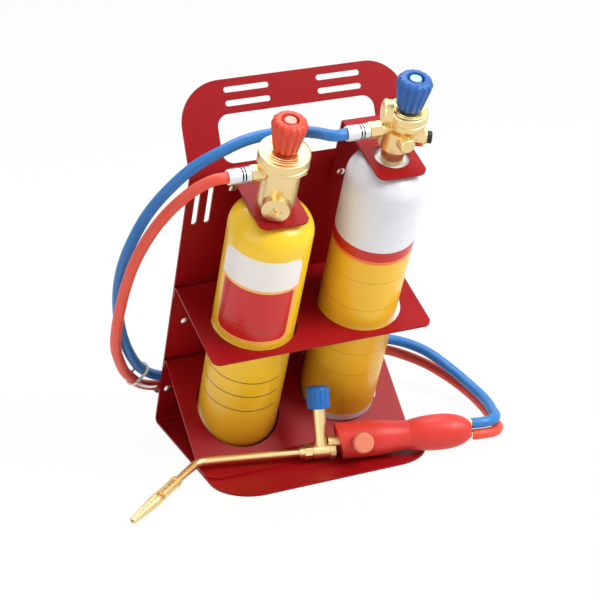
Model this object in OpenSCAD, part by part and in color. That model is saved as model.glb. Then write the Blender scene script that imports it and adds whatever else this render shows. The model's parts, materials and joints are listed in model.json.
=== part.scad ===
// Portable oxygen and fuel gas torch kit: a carrier folded from sheet steel holds two cylinders
// with their regulators, and a hand torch is joined to them by a pair of hoses.
// Millimetres, +Z up, front towards -Y. The origin is the centre of the base plate's underside.

/* [Carrier] */
// Width of the folded sheet
carrier_w = 216; // [210:1:240]
// Thickness of every steel sheet
sheet_t = 2; // [1.5:0.1:2.5]
// Depth of the base plate, from its front edge to the panel's foot line
base_depth = 188; // [184:1:215]
// Radius of the base plate's front corners
base_corner_r = 40; // [15:1:60]
// How far the back panel leans forward from upright, in degrees
lean = 24; // [22:0.5:26]
// Length of the back panel, from its foot line to the handle's bend
panel_len = 317; // [310:1:318]
// Bend between the panel and the handle, in degrees
handle_bend = 43; // [30:1:50]
// Length of the handle beyond the bend
handle_len = 80; // [76:1:95]
// Radius of the handle's top corners
handle_corner_r = 38; // [15:1:45]
// Inside radius of the folds
fold_r = 2.5; // [1.5:0.1:4]

/* [Handle and panel openings] */
// Width of the hand opening
opening_w = 151; // [120:1:160]
// Height of the hand opening
opening_h = 43; // [35:1:46]
// Corner radius of the hand opening
opening_r = 11; // [4:1:16]
// Height of the hand opening above the bend
opening_rise = 6.5; // [5:0.5:9]
// Length of each slot
slot_len = 43; // [30:1:46]
// Width of each slot
slot_w = 5; // [3:0.5:6]
// Distance between the middles of neighbouring slots
slot_pitch = 12; // [9:0.5:13]
// Distance from the middle of the handle to the near end of its slots
slot_inset = 22.5; // [15:0.5:26]
// Distance from the handle's top edge to the middle of its upper slots
slot_top = 9.5; // [7:0.5:11]
// Height of the middle of the panel's upright slots, along the panel
upright_slot_z = 280.5; // [270:0.5:286]
// Distance from the panel's side edge to the middle of its outer slots
slot_edge = 10; // [7:0.5:12]

/* [Shelf and cradle] */
// Height of the middle shelf's top, along the panel
shelf_z = 186; // [150:1:220]
// Distance from the panel to the shelf's front edge
shelf_depth = 103.5; // [102:0.5:112]
// Radius of the front corners of the shelf and the brackets
shelf_corner_r = 8; // [3:1:12]
// Radius of the cylinder holes in the shelf and the cradle
bottle_hole_r = 40; // [39:0.2:41]
// Slope of the cradle from level, in degrees
cradle_slope = 45; // [42:0.5:48]
// Distance from the panel's foot line to the cradle's lower fold
cradle_foot = 118; // [117:0.5:122]
// Depth of the cradle's flange on the base plate
cradle_flange = 28; // [20:1:32]
// Radius of the corners of the cradle's flange
flange_corner_r = 14; // [5:1:18]
// How far the oxygen cylinder's foot reaches over its seat on the cradle
foot_bite = 1; // [0.5:0.1:1.6]
// Width of the flanges that lie against the panel
back_flange = 14; // [10:1:18]

/* [Neck brackets] */
// Width of each bracket
bracket_w = 46; // [42:1:50]
// Distance from the panel to each bracket's front edge
bracket_depth = 84.5; // [80:0.5:90]
// Height of the fuel gas bracket's top, along the panel
gas_bracket_z = 324; // [320:1:330]
// Height of the oxygen bracket's top, along the panel
oxy_bracket_z = 360; // [354:1:366]
// Radius of the oxygen bracket's hole
oxy_hole_r = 16; // [12:0.5:18]
// How far each bracket's leg reaches down over the panel
leg_lap = 30; // [22:1:40]

/* [Cylinders] */
// Distance of each cylinder's axis from the middle
bottle_x = 52; // [48:0.5:56]
// Distance of the cylinders' axes in front of the panel
bottle_y = 57; // [54:0.5:60]
// Diameter of the fuel gas cylinder
gas_d = 76; // [72:0.5:77]
// Radius of the fuel gas cylinder's bottom edge
gas_bottom_r = 24; // [18:1:28]
// Diameter of the oxygen cylinder
oxy_d = 73; // [70:0.5:75]
// Radius of the oxygen cylinder's foot
oxy_foot_r = 6; // [5:0.5:8]
// Height of the oxygen cylinder's foot ring
foot_ring_h = 12; // [9:0.5:16]
// Height of each cylinder's domed shoulder
shoulder_h = 21; // [16:0.5:26]
// Wall of each cylinder
bottle_wall = 2; // [1.2:0.1:2.4]
// Diameter of the fuel gas cylinder's threaded valve
gas_neck_d = 25; // [20:0.5:27]
// Diameter of the oxygen cylinder's threaded valve
oxy_neck_d = 12; // [10:0.5:13]

/* [Regulators] */
// Diameter of the fuel gas regulator's body
gas_body_d = 34; // [32:0.5:36]
// Height of the fuel gas regulator's body
gas_body_h = 47; // [47:1:52]
// Diameter of the fuel gas regulator's bonnet
gas_bonnet_d = 45; // [42:0.5:48]
// Height of the fuel gas regulator's bonnet
gas_bonnet_h = 13.5; // [12:0.5:18]
// Height of the fuel gas outlet above the regulator's foot
gas_outlet_z = 40; // [36:0.5:40]
// Diameter of the oxygen regulator's stem
oxy_stem_d = 20; // [18:0.5:22]
// Height of the oxygen regulator's stem above its bracket
oxy_stem_h = 14; // [12:0.5:18]
// Diameter of the oxygen regulator's body
oxy_body_d = 30; // [28:0.5:32]
// Height of the oxygen regulator's body
oxy_body_h = 25; // [25:0.5:30]
// Diameter of the oxygen regulator's bonnet
oxy_bonnet_d = 35; // [34:0.5:38]
// Height of the oxygen regulator's bonnet
oxy_bonnet_h = 11.5; // [11:0.5:15]
// Thickness of each bonnet's crown
bonnet_wall = 3; // [2:0.1:3.2]
// Diameter of an adjusting screw
screw_d = 10; // [8:0.5:11]
// Diameter of a knob at its top
knob_top_d = 31; // [28:0.5:34]
// Diameter of a knob at its foot
knob_foot_d = 23; // [21:0.5:26]
// Height of a knob
knob_h = 30; // [26:0.5:34]
// Gap between a knob and its bonnet, which the screw's travel uses
knob_gap = 3.5; // [3:0.1:5]
// Number of flutes round a knob
flutes = 14; // [8:1:16]

/* [Outlets] */
// Width across the flats of an outlet nut
nut_w = 13; // [12:0.5:14]
// Length of an outlet nut
nut_len = 11; // [9:0.5:13]
// Diameter of a hose ferrule
ferrule_d = 13.5; // [12:0.5:15]
// Length of a hose ferrule
ferrule_len = 20.5; // [18:0.5:24]

/* [Torch] */
// Diameter of the handle's front moulding
grip_front_d = 34; // [31:0.5:36]
// Diameter of the handle's waist
grip_waist_d = 27; // [25:0.5:29]
// Diameter of the handle's rear moulding at its fullest
grip_bulge_d = 34; // [31:0.5:36]
// Length of the handle's front moulding
grip_front_len = 69; // [62:1:74]
// Length of the handle's rear moulding
grip_rear_len = 60; // [56:1:64]
// Distance of the lance below the handle's middle
lance_drop = 7.5; // [6:0.5:8.5]
// Diameter of the lance tube
lance_d = 7.7; // [6.5:0.1:8.5]
// Length from the handle to the lance's bend
lance_len = 129; // [120:1:134]
// Bend of the lance, in degrees
lance_bend = 52; // [45:1:54]
// Length from the bend to the tip
tip_len = 111; // [105:1:113]
// Diameter of the oxygen valve's knob
valve_knob_d = 21.5; // [18:0.5:24]
// Height of the oxygen valve's knob
valve_knob_h = 20.5; // [16:0.5:23]
// Length of the oxygen valve's stem above the lance
stem_len = 40; // [32:0.5:44]
// Diameter of the oxygen valve's stem
stem_d = 12; // [10:0.5:13]
// Diameter of the gas valve's knob
gas_valve_d = 19.5; // [15:0.5:21]
// Height of the gas valve's knob
gas_valve_h = 8; // [6:0.5:10]

/* [Hoses and fits] */
// Outside diameter of the hoses
hose_d = 10; // [8:0.5:10]
// Clearance on the radius of a turning or sliding fit
run_fit = 0.06; // [0.03:0.01:0.1]
// Clearance on the radius of a seated piece
seat_fit = 0.3; // [0.2:0.05:0.4]

/* [Hidden] */
$fn = 48;

steel_red = [0.70, 0.06, 0.08];
brass = [0.84, 0.66, 0.30];
knob_red = [0.86, 0.16, 0.10];
knob_blue = [0.10, 0.25, 0.60];
bottle_yellow = [0.93, 0.76, 0.10];
pale_grey = [0.82, 0.82, 0.84];
hose_blue = [0.12, 0.42, 0.75];
hose_red = [0.86, 0.25, 0.14];
dark = [0.12, 0.12, 0.13];

half_w = carrier_w / 2;
foot_line = base_depth / 2;
gas_r = gas_d / 2;
oxy_r = oxy_d / 2;
rest_gap = 0.3;             // what lies at rest keeps this distance from its seat
press_fit = 0.1;            // clearance on the radius of a pin that fills its hole
through = 4 * sheet_t;      // length of a cutter that goes through a sheet

// ---------- frames ----------

// The panel's frame: z runs up its front face, and the sheet lies behind y = 0.
module on_panel() {
    translate([0, foot_line, 0]) rotate([lean, 0, 0]) children();
}

// A cylinder's axis, at height z along the panel.
module on_axis(x, z = 0) {
    on_panel() translate([x, -bottle_y, z]) children();
}

// The handle's frame: z runs up its front face from the bend.
module on_handle() {
    on_panel() translate([0, 0, panel_len]) rotate([-handle_bend, 0, 0]) children();
}

// A side outlet at height z: its own z points away from the axis, in the given direction.
module sideways(z, angle) {
    translate([0, 0, z]) rotate([0, 0, angle]) rotate([0, 90, 0]) children();
}

// ---------- outlines ----------

// What a rounded corner takes away at the origin, on side s.
module corner_cut(s, r) {
    difference() {
        translate([s > 0 ? -r : -1, -r]) square([r + 1, r + 1]);
        translate([-s * r, -r]) circle(r);
    }
}

// Both far corners of a plate of width w that ends at y = d.
module tab_cuts(w, d, r) {
    for (s = [-1, 1]) translate([s * w / 2, d]) corner_cut(s, r);
}

// A slot along x, centred.
module slot_outline(len, w) {
    square([len - w, w], center = true);
    for (s = [-1, 1]) translate([s * (len - w) / 2, 0]) circle(w / 2);
}

// A rounded rectangle that stands on the origin.
module opening_outline(w, h, r) {
    translate([-w / 2 + r, 0]) square([w - 2 * r, h]);
    translate([-w / 2, r]) square([w, h - 2 * r]);
    for (x = [-1, 1], y = [r, h - r]) translate([x * (w / 2 - r), y]) circle(r);
}

// Points of an arc round c, from angle a to angle b.
function arc(c, r, a, b, n = 10) =
    [for (i = [0:n]) c + r * [cos(a + (b - a) * i / n), sin(a + (b - a) * i / n)]];

// ---------- folded sheet ----------

// A fold's share of the flat length before it, measured on the sheet's top face.
function setback(turn) = turn > 0 ? fold_r * tan(turn / 2) : (fold_r + sheet_t) * tan(-turn / 2);

// Stations along a folded strip: each a point of its under side and the angle of its normal. A fold
// turns the normal round its own centre, which lies on the side that the strip turns to.
function up(a) = [-sin(a), cos(a)];
function stations(runs, i = 0, p = [0, 0], a = 0) =
    i == len(runs) ? [] :
    let (
        q = p + runs[i][0] * [cos(a), sin(a)],
        turn = runs[i][1],
        reach = turn > 0 ? sheet_t + fold_r : -fold_r,
        bend = [for (k = [0:8]) [q + reach * (up(a) - up(a + turn * k / 8)), a + turn * k / 8]]
    )
    concat([[p, a]], turn == 0 ? [[q, a]] : bend, stations(runs, i + 1, bend[8][0], a + turn));

// A strip of width w folded along y: runs holds each flat length and the turn after it.
module folded(runs, w) {
    path = stations(runs);
    n = len(path);
    rotate([90, 0, 90]) linear_extrude(w, center = true) polygon(concat(
        [for (s = path) s[0]],
        [for (i = [0:n - 1]) path[n - 1 - i][0] + sheet_t * up(path[n - 1 - i][1])]));
}

// ---------- carrier ----------

// The panel's front face passes through the foot line at floor level.
foot_back = (fold_r + (sheet_t + fold_r) * sin(lean)) / cos(lean);
panel_low = (fold_r * (1 + sin(lean)) + sheet_t) / cos(lean);
bend_set = setback(-handle_bend);

module carrier_sheet() {
    color(steel_red) difference() {
        translate([0, -foot_line, 0]) folded([
            [base_depth - foot_back, 90 + lean],
            [panel_len - bend_set - panel_low, -handle_bend],
            [handle_len - bend_set, 0]], carrier_w);
        translate([0, 0, -sheet_t]) linear_extrude(through)
            mirror([0, 1]) tab_cuts(carrier_w, foot_line, base_corner_r);
        on_handle() rotate([90, 0, 0]) linear_extrude(through, center = true) {
            tab_cuts(carrier_w, handle_len, handle_corner_r);
            translate([0, opening_rise]) opening_outline(opening_w, opening_h, opening_r);
            handle_slots();
        }
        on_panel() for (s = [-1, 1], k = [0, 1])
            translate([s * (half_w - slot_edge - k * slot_pitch), 0, upright_slot_z])
                rotate([90, 90, 0]) linear_extrude(through, center = true) slot_outline(slot_len, slot_w);
        rivet_places() cylinder(r = rivet_r, h = through, center = true);
        screw_places() cylinder(r = rivet_r, h = through, center = true);
    }
}

module handle_slots() {
    for (s = [-1, 1], k = [0, 1])
        translate([s * (slot_inset + slot_len / 2), handle_len - slot_top - k * slot_pitch])
            slot_outline(slot_len, slot_w);
}

// ---------- shelf, cradle and brackets ----------

// Plate that reaches forward from the panel at height z, with a leg that turns down against it.
module angle_plate(z, depth, w, leg) {
    on_panel() translate([0, -depth, z - sheet_t]) folded([
        [depth - setback(-90), -90],
        [leg - setback(-90), 0]], w);
}

module plate_corners(z, depth, w) {
    on_panel() translate([0, 0, z - 2 * sheet_t]) linear_extrude(through)
        mirror([0, 1]) tab_cuts(w, depth, shelf_corner_r);
}

module bottle_shelf() {
    color(steel_red) difference() {
        angle_plate(shelf_z, shelf_depth, carrier_w, back_flange);
        plate_corners(shelf_z, shelf_depth, carrier_w);
        for (s = [-1, 1]) on_axis(s * bottle_x, shelf_z - 2 * sheet_t)
            cylinder(r = bottle_hole_r, h = through);
    }
}

// The slope runs from its fold on the base plate up to the panel's front face.
cradle_run = (cradle_foot * cos(lean) - 2 * sheet_t * sin(lean)) / cos(cradle_slope - lean);
cradle_top_turn = -(cradle_slope + 90 - lean);
// Height along the panel at which the slope's top face meets it, and the same at distance y.
cradle_top_z = (cradle_foot - cradle_run * cos(cradle_slope)) * sin(lean)
    + (2 * sheet_t + cradle_run * sin(cradle_slope)) * cos(lean);
function slope_z(y) = cradle_top_z - y * tan(cradle_slope - lean);

// The oxygen cylinder's hole lies further back, so that the foot sits on its front edge.
oxy_seat_y = bottle_y + oxy_r - foot_bite;
oxy_hole_y = oxy_seat_y - bottle_hole_r;

module bottle_cradle() {
    color(steel_red) difference() {
        translate([0, foot_line - cradle_foot - cradle_flange, sheet_t]) folded([
            [cradle_flange - setback(cradle_slope), cradle_slope],
            [cradle_run - setback(cradle_slope) - setback(cradle_top_turn), cradle_top_turn],
            [back_flange - setback(cradle_top_turn), 0]], carrier_w);
        cradle_hole(-bottle_x, bottle_y);
        cradle_hole(bottle_x, oxy_hole_y);
        translate([0, foot_line - cradle_foot, sheet_t / 2]) linear_extrude(2 * sheet_t)
            mirror([0, 1]) tab_cuts(carrier_w, cradle_flange, flange_corner_r);
    }
}

// A hole along a cylinder's axis that cuts the slope and stays clear of the flange.
module cradle_hole(x, y) {
    low = slope_z(y + bottle_hole_r) - 1.5 * sheet_t;
    on_panel() translate([x, -y, low])
        cylinder(r = bottle_hole_r, h = slope_z(y - bottle_hole_r) + sheet_t - low);
}

// The leg laps the panel below the bend, or below the bracket where that is lower.
function leg_top(z) = min(panel_len, z);

module neck_bracket(x, z, hole) {
    color(steel_red) difference() {
        translate([x, 0, 0]) angle_plate(z, bracket_depth, bracket_w, z - leg_top(z) + leg_lap);
        translate([x, 0, 0]) plate_corners(z, bracket_depth, bracket_w);
        on_axis(x, z - 2 * sheet_t) cylinder(r = hole, h = through);
        rivet_places() cylinder(r = rivet_r, h = 2 * through, center = true);
    }
}

module gas_neck_bracket() neck_bracket(-bottle_x, gas_bracket_z, gas_neck_d / 2 + 1);

module oxygen_neck_bracket() neck_bracket(bottle_x, oxy_bracket_z, oxy_hole_r);

// ---------- rivets and hose clips ----------

rivet_r = 2.1;
rivet_head_r = 4;
rivet_head_h = 1.6;
side_rivet_x = half_w - 15.5;
side_rivet_z = 137;
leg_rivet_drop = leg_lap / 2 + 4;
leg_rivet_x = 14;
clip_x = half_w - 8.3;
clip_z = 46;
clip_y = 9.2;               // from the panel's front face to the middles of the hoses
clip_half = 6.5;            // from the clip's middle to the middle of each hose
clip_w = 10;
clip_wall = 1.7;
clip_turn = 25;             // the left clip follows the hoses, which slope down there
clip_screw_len = sheet_t + 3;

// The axis of each rivet runs through the panel, its z towards the front.
module leg_rivet_places() {
    on_panel() for (leg = [[-bottle_x, gas_bracket_z], [bottle_x, oxy_bracket_z]], k = [-1, 1])
        translate([leg.x + k * leg_rivet_x, 0, leg_top(leg.y) - leg_rivet_drop]) rotate([90, 0, 0]) children();
}

module side_rivet_places() {
    on_panel() for (s = [-1, 1])
        translate([s * side_rivet_x, 0, side_rivet_z]) rotate([90, 0, 0]) children();
}

module rivet_places() {
    leg_rivet_places() children();
    side_rivet_places() children();
}

module screw_places() {
    on_panel() for (s = [-1, 1]) translate([s * clip_x, 0, clip_z]) rotate([90, 0, 0]) children();
}

// A domed head that stands on z = 0.
module domed_head(r, h) {
    bulge = (r * r + h * h) / (2 * h);
    rotate_extrude() polygon(concat([[0, 0]], arc([0, h - bulge], bulge, asin((bulge - h) / bulge), 90)));
}

// A rivet through the panel and whatever lies in front of it.
module rivet(front) {
    translate([0, 0, front]) domed_head(rivet_head_r, rivet_head_h);
    translate([0, 0, -sheet_t - 0.2]) cylinder(r = rivet_r - press_fit, h = front + sheet_t + 0.4);
    translate([0, 0, -sheet_t]) mirror([0, 0, 1]) domed_head(rivet_head_r - 0.8, rivet_head_h - 0.4);
}

module panel_rivets() {
    color(steel_red) {
        leg_rivet_places() rivet(sheet_t);
        side_rivet_places() rivet(0);
    }
}

// A moulded clip behind the panel, which holds the hoses one above the other.
module clip() {
    bore = hose_d / 2 + seat_fit;
    difference() {
        union() {
            for (s = [-1, 1]) translate([0, clip_y, s * clip_half]) rotate([0, 90, 0])
                cylinder(r = bore + clip_wall, h = clip_w, center = true);
            translate([-clip_w / 2, sheet_t, -clip_half]) cube([clip_w, clip_y - sheet_t, 2 * clip_half]);
        }
        for (s = [-1, 1]) translate([0, clip_y, s * clip_half]) rotate([0, 90, 0])
            cylinder(r = bore, h = 2 * clip_w, center = true);
        rotate([-90, 0, 0]) cylinder(r = rivet_r, h = clip_screw_len + 0.5);
    }
}

module hose_clips() {
    color(dark) on_panel() {
        translate([-clip_x, 0, clip_z]) rotate([0, clip_turn, 0]) clip();
        translate([clip_x, 0, clip_z]) clip();
    }
}

module clip_screws() {
    color(steel_red) screw_places() {
        domed_head(rivet_head_r, rivet_head_h);
        translate([0, 0, -clip_screw_len]) cylinder(r = rivet_r - press_fit, h = clip_screw_len + 0.2);
    }
}

// ---------- cylinders ----------

// Half the section of a pressed cylinder: rounded foot, straight wall, domed shoulder, neck. What is
// drawn in by inset lies inside the outer skin, and below ring the wall steps in.
function bottle_half(r, foot_r, side, neck_r, top, inset = 0, ring = 0, thin = 0) = concat(
    [[0, inset + thin]],
    arc([r - foot_r, foot_r], foot_r - inset - thin, 270, 360),
    ring > 0 ? [[r - inset - thin, ring + thin], [r - thin, ring + thin]] : [],
    [for (i = [0:12]) [neck_r + (r - thin - neck_r) * cos(90 * i / 12),
        side + (shoulder_h - thin) * sin(90 * i / 12)]],
    [[neck_r, top], [0, top]]);

module bottle(r, foot_r, side, neck_r, neck, bore_r, inset = 0, ring = 0) {
    top = side + shoulder_h;
    difference() {
        rotate_extrude() polygon(bottle_half(r, foot_r, side, neck_r, top + neck, inset, ring));
        rotate_extrude()
            polygon(bottle_half(r, foot_r, side, bore_r, top + neck + 1, inset, ring, bottle_wall));
    }
}

// A threaded valve: its shank fills the neck's bore, and gas leaves through its middle.
module cylinder_valve(shank_r, r, z) {
    difference() {
        union() {
            translate([0, 0, z - shank_len]) cylinder(r = shank_r, h = shank_len + 1);
            translate([0, 0, z]) cylinder(r = r, h = valve_rise - 1);
            translate([0, 0, z + valve_rise - 1]) cylinder(r1 = r, r2 = r - 1, h = 1);
        }
        translate([0, 0, z - shank_len - 1]) cylinder(r = poppet_r - 1, h = shank_len + valve_rise + 2);
    }
}
shank_len = 8;
valve_rise = 14;
poppet_r = 2.5;

// The gas cylinder's rounded bottom rests on the base plate at its front.
gas_reach = bottle_y + gas_r - gas_bottom_r;
gas_bottom_z = (sheet_t + rest_gap + gas_bottom_r + gas_reach * sin(lean)) / cos(lean) - gas_bottom_r;
gas_neck_top = gas_bracket_z - sheet_t - 0.5;
gas_neck_h = 1.5;
gas_shank_r = gas_neck_d / 2 - 3;

module gas_cylinder() {
    side = gas_neck_top - gas_neck_h - shoulder_h - gas_bottom_z;
    color(bottle_yellow) on_axis(-bottle_x, gas_bottom_z)
        bottle(gas_r, gas_bottom_r, side, gas_neck_d / 2 + 1, gas_neck_h, gas_shank_r + press_fit);
}

module gas_cylinder_valve() {
    color(brass) on_axis(-bottle_x) cylinder_valve(gas_shank_r, gas_neck_d / 2, gas_neck_top);
}

// The oxygen cylinder's rounded foot rests on the front edge of its hole in the cradle.
seat_in = oxy_foot_r - foot_bite;
oxy_bottom_z = slope_z(oxy_seat_y) + sqrt(pow(oxy_foot_r + 2 * rest_gap, 2) - seat_in * seat_in) - oxy_foot_r;
oxy_neck_top = oxy_bracket_z - sheet_t - 0.5;
oxy_neck_h = 0.5;
oxy_shank_r = oxy_neck_d / 2 - 2;

module oxygen_cylinder() {
    side = oxy_neck_top - oxy_neck_h - shoulder_h - oxy_bottom_z;
    color(bottle_yellow) on_axis(bottle_x, oxy_bottom_z)
        bottle(oxy_r, oxy_foot_r, side, oxy_neck_d / 2 + 2, oxy_neck_h, oxy_shank_r + press_fit,
            bottle_wall, foot_ring_h);
}

// A pale cup pressed over the foot of the oxygen cylinder, which is drawn in by the cup's wall.
module oxygen_cylinder_foot() {
    color(pale_grey) on_axis(bottle_x, oxy_bottom_z) difference() {
        rotate_extrude() polygon(concat([[0, 0]], arc([oxy_r - oxy_foot_r, oxy_foot_r], oxy_foot_r, 270, 360),
            [[oxy_r, foot_ring_h], [0, foot_ring_h]]));
        rotate_extrude() polygon(concat([[0, bottle_wall]],
            arc([oxy_r - oxy_foot_r, oxy_foot_r], oxy_foot_r - bottle_wall, 270, 360),
            [[oxy_r - bottle_wall, foot_ring_h + 1], [0, foot_ring_h + 1]]));
    }
}

module oxygen_cylinder_valve() {
    color(brass) on_axis(bottle_x) cylinder_valve(oxy_shank_r, oxy_neck_d / 2, oxy_neck_top);
}

// ---------- regulator pieces that both gases share ----------

screw_r = screw_d / 2;
rim_w = 3.5;                // rim round the raised crown of a bonnet
crown_h = 1;                // height of the raised crown
diaphragm_t = 0.8;
spring_r = 5.5;
spring_wire = 0.8;
spring_turns = 2;
spring_h = 3.6;
screw_tip = 1.2;            // how far the screw's tip hangs below the crown's inner face
socket_h = 14;              // depth of the screw's socket in its knob
button_r = 5;
button_recess_r = 7.4;

// A bonnet stands on z = 0, open below over its cavity.
module bonnet(r, h, cavity_r) {
    difference() {
        union() {
            rotate_extrude() polygon([[0, 0], [r, 0], [r, h - 1.2], [r - 1.2, h], [0, h]]);
            cylinder(r = r - rim_w, h = h + crown_h);
        }
        translate([0, 0, -1]) cylinder(r = cavity_r, h = h - bonnet_wall + 1);
        cylinder(r = screw_r + run_fit, h = h + 2 * crown_h);
    }
}

module diaphragm(cavity_r) cylinder(r = cavity_r - seat_fit, h = diaphragm_t);

// Tube swept along points: each ring stands square to the way between its neighbours.
function unit(v) = v / norm(v);
function tangent(p, i) = unit(p[min(i + 1, len(p) - 1)] - p[max(i - 1, 0)]);
function ring_points(p, t, r, sides) =
    let (a = unit(cross(t, [0, 0, 1])), b = cross(t, a))
    [for (k = [0:sides - 1]) p + r * (a * cos(360 * k / sides) + b * sin(360 * k / sides))];
module tube(p, r, sides = 8) {
    n = len(p);
    polyhedron(
        points = [for (i = [0:n - 1]) each ring_points(p[i], tangent(p, i), r, sides)],
        faces = concat(
            [[for (k = [0:sides - 1]) k]],
            [[for (k = [0:sides - 1]) (n - 1) * sides + sides - 1 - k]],
            [for (i = [0:n - 2], k = [0:sides - 1]) [i * sides + k, (i + 1) * sides + k,
                (i + 1) * sides + (k + 1) % sides]],
            [for (i = [0:n - 2], k = [0:sides - 1]) [i * sides + k,
                (i + 1) * sides + (k + 1) % sides, i * sides + (k + 1) % sides]]));
}

// A short compression spring that stands just above the diaphragm.
module spring() {
    steps = 12 * spring_turns;
    rise = spring_h - spring_wire;
    low = diaphragm_t + rest_gap + spring_wire / 2;
    tube([for (i = [0:steps]) [spring_r * cos(30 * i), spring_r * sin(30 * i), low + rise * i / steps]],
        spring_wire / 2, 6);
}

// A screw that hangs from the bonnet's crown into the knob, for a bonnet of height h.
module adjusting_screw(h) {
    tip = h - bonnet_wall - screw_tip;
    translate([0, 0, tip]) cylinder(r1 = screw_r - 1, r2 = screw_r, h = 1);
    translate([0, 0, tip + 1]) cylinder(r = screw_r, h = knob_gap + socket_h - 1.5 + h - tip);
}

// A tapered knob with flutes, open below for the screw and recessed above for its button.
module knob() {
    top_r = knob_top_d / 2;
    foot_r = knob_foot_d / 2;
    shoulder = 6;
    slant = atan((top_r - foot_r) / (knob_h - shoulder));
    difference() {
        rotate_extrude() polygon(concat(
            [[0, 0], [foot_r - 1, 0], [foot_r, 1]],
            arc([top_r - shoulder, knob_h - shoulder], shoulder, 0, 90),
            [[0, knob_h]]));
        translate([0, 0, -1]) cylinder(r = screw_r + run_fit, h = socket_h + 1);
        translate([0, 0, knob_h - 4]) cylinder(r = button_recess_r, h = 5);
        for (i = [0:flutes - 1]) rotate([0, 0, 360 * i / flutes]) translate([foot_r + 0.6, 0, -1])
            rotate([0, slant, 0]) cylinder(r = 1.6, h = knob_h - shoulder + 2, $fn = 16);
    }
}

module knob_button() {
    translate([0, 0, knob_h - 4]) {
        cylinder(r = button_r, h = 3.6);
        translate([0, 0, 3.6]) domed_head(button_r, 0.9);
    }
}

module outlet_nut() {
    difference() {
        rotate([0, 0, 30]) cylinder(r = nut_w / 2 / cos(30), h = nut_len, $fn = 6);
        translate([0, 0, -1]) cylinder(r = 3, h = nut_len + 2);
    }
}

module ferrule() {
    r = ferrule_d / 2;
    rotate_extrude() polygon([[3, 0], [r - 0.8, 0], [r, 0.8], [r, 5], [r - 0.7, 5.4], [r - 0.7, 6.2],
        [r, 6.6], [r, 7.6], [r - 0.7, 8], [r - 0.7, 8.8], [r, 9.2], [r, ferrule_len - 0.5],
        [r - 0.5, ferrule_len], [3, ferrule_len]]);
}

// ---------- fuel gas regulator ----------

gas_body_r = gas_body_d / 2;
gas_bonnet_r = gas_bonnet_d / 2;
gas_cavity_r = gas_bonnet_r - 4.5;
gas_outlet_at = gas_body_r + 0.5;
gas_bonnet_z = gas_bracket_z + gas_body_h;
lug_r = 12;
lug_reach = 23;
lug_z = 13;
lug_angle = 245;            // the lug with the plug looks forward and a little to the left
plug_r = 5;
plug_h = 4;

module gas_regulator_body() {
    color(brass) on_axis(-bottle_x, gas_bracket_z) difference() {
        union() {
            cylinder(r = gas_body_r, h = gas_body_h);
            sideways(lug_z, lug_angle) cylinder(r = lug_r, h = lug_reach);
            sideways(gas_body_h - 9, 0) cylinder(r = 7, h = 21);
            sideways(gas_outlet_z, 180) cylinder(r = 5.5, h = gas_outlet_at);
        }
        translate([0, 0, -1]) cylinder(r = gas_neck_d / 2 + seat_fit, h = valve_rise - sheet_t + 1);
        cylinder(r = poppet_r + press_fit, h = gas_body_h + 1);
        sideways(lug_z, lug_angle) translate([0, 0, lug_reach - plug_h - 1])
            cylinder(r = plug_r + press_fit, h = 9);
    }
}

// A plug with a hexagon socket, sunk in the lug.
module gas_side_plug() {
    color(brass) on_axis(-bottle_x, gas_bracket_z) sideways(lug_z, lug_angle)
        translate([0, 0, lug_reach - plug_h - 1]) difference() {
            cylinder(r = plug_r, h = plug_h);
            translate([0, 0, 1.5]) cylinder(r = 2.6, h = plug_h, $fn = 6);
        }
}

module gas_regulator_bonnet() {
    color(brass) on_axis(-bottle_x, gas_bonnet_z) bonnet(gas_bonnet_r, gas_bonnet_h, gas_cavity_r);
}

module gas_diaphragm() color(dark) on_axis(-bottle_x, gas_bonnet_z) diaphragm(gas_cavity_r);

module gas_spring() color(pale_grey) on_axis(-bottle_x, gas_bonnet_z) spring();

// The poppet stands in the body's bore, from the cylinder's valve up to the diaphragm.
module gas_poppet() {
    color(pale_grey) on_axis(-bottle_x, gas_neck_top + valve_rise + rest_gap)
        cylinder(r = poppet_r, h = gas_bonnet_z - gas_neck_top - valve_rise - 2 * rest_gap);
}

module gas_adjusting_screw() color(brass) on_axis(-bottle_x, gas_bonnet_z) adjusting_screw(gas_bonnet_h);

gas_knob_z = gas_bonnet_z + gas_bonnet_h + knob_gap;

module gas_knob() color(knob_red) on_axis(-bottle_x, gas_knob_z) knob();

module gas_knob_cap() color(pale_grey) on_axis(-bottle_x, gas_knob_z) knob_button();

module gas_outlet_nut() {
    color(brass) on_axis(-bottle_x, gas_bracket_z) sideways(gas_outlet_z, 180)
        translate([0, 0, gas_outlet_at]) outlet_nut();
}

module gas_hose_ferrule() {
    color(pale_grey) on_axis(-bottle_x, gas_bracket_z) sideways(gas_outlet_z, 180)
        translate([0, 0, gas_outlet_at + nut_len]) ferrule();
}

// ---------- oxygen regulator ----------

oxy_body_r = oxy_body_d / 2;
oxy_bonnet_r = oxy_bonnet_d / 2;
oxy_cavity_r = oxy_bonnet_r - 6.5;
oxy_outlet_at = oxy_body_r + 3;
oxy_offset = 5.5;           // the bonnet and its knob stand to the right of the cylinder's axis
oxy_body_z = oxy_bracket_z + oxy_stem_h;
oxy_bonnet_z = oxy_body_z + oxy_body_h;
oxy_stem_low = oxy_neck_top;
oxy_outlet_z = 19;
barrel_r = 11;
side_cap_r = barrel_r + 0.4;
side_cap_h = 4;
barrel_z = oxy_body_h + 6.5;
barrel_angle = 160;         // the side barrel looks to the left and a little back
barrel_from = oxy_bonnet_r - 4;
barrel_reach = oxy_bonnet_r + 0.5;
relief_z = 11;
relief_angle = -22;
relief_at = oxy_body_r + 1;
front_z = 13;
front_reach = 18;

// The frame of the bonnet and all that stands on it.
module on_oxy_bonnet(z = 0) {
    on_axis(bottle_x + oxy_offset, oxy_bonnet_z + z) children();
}

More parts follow.
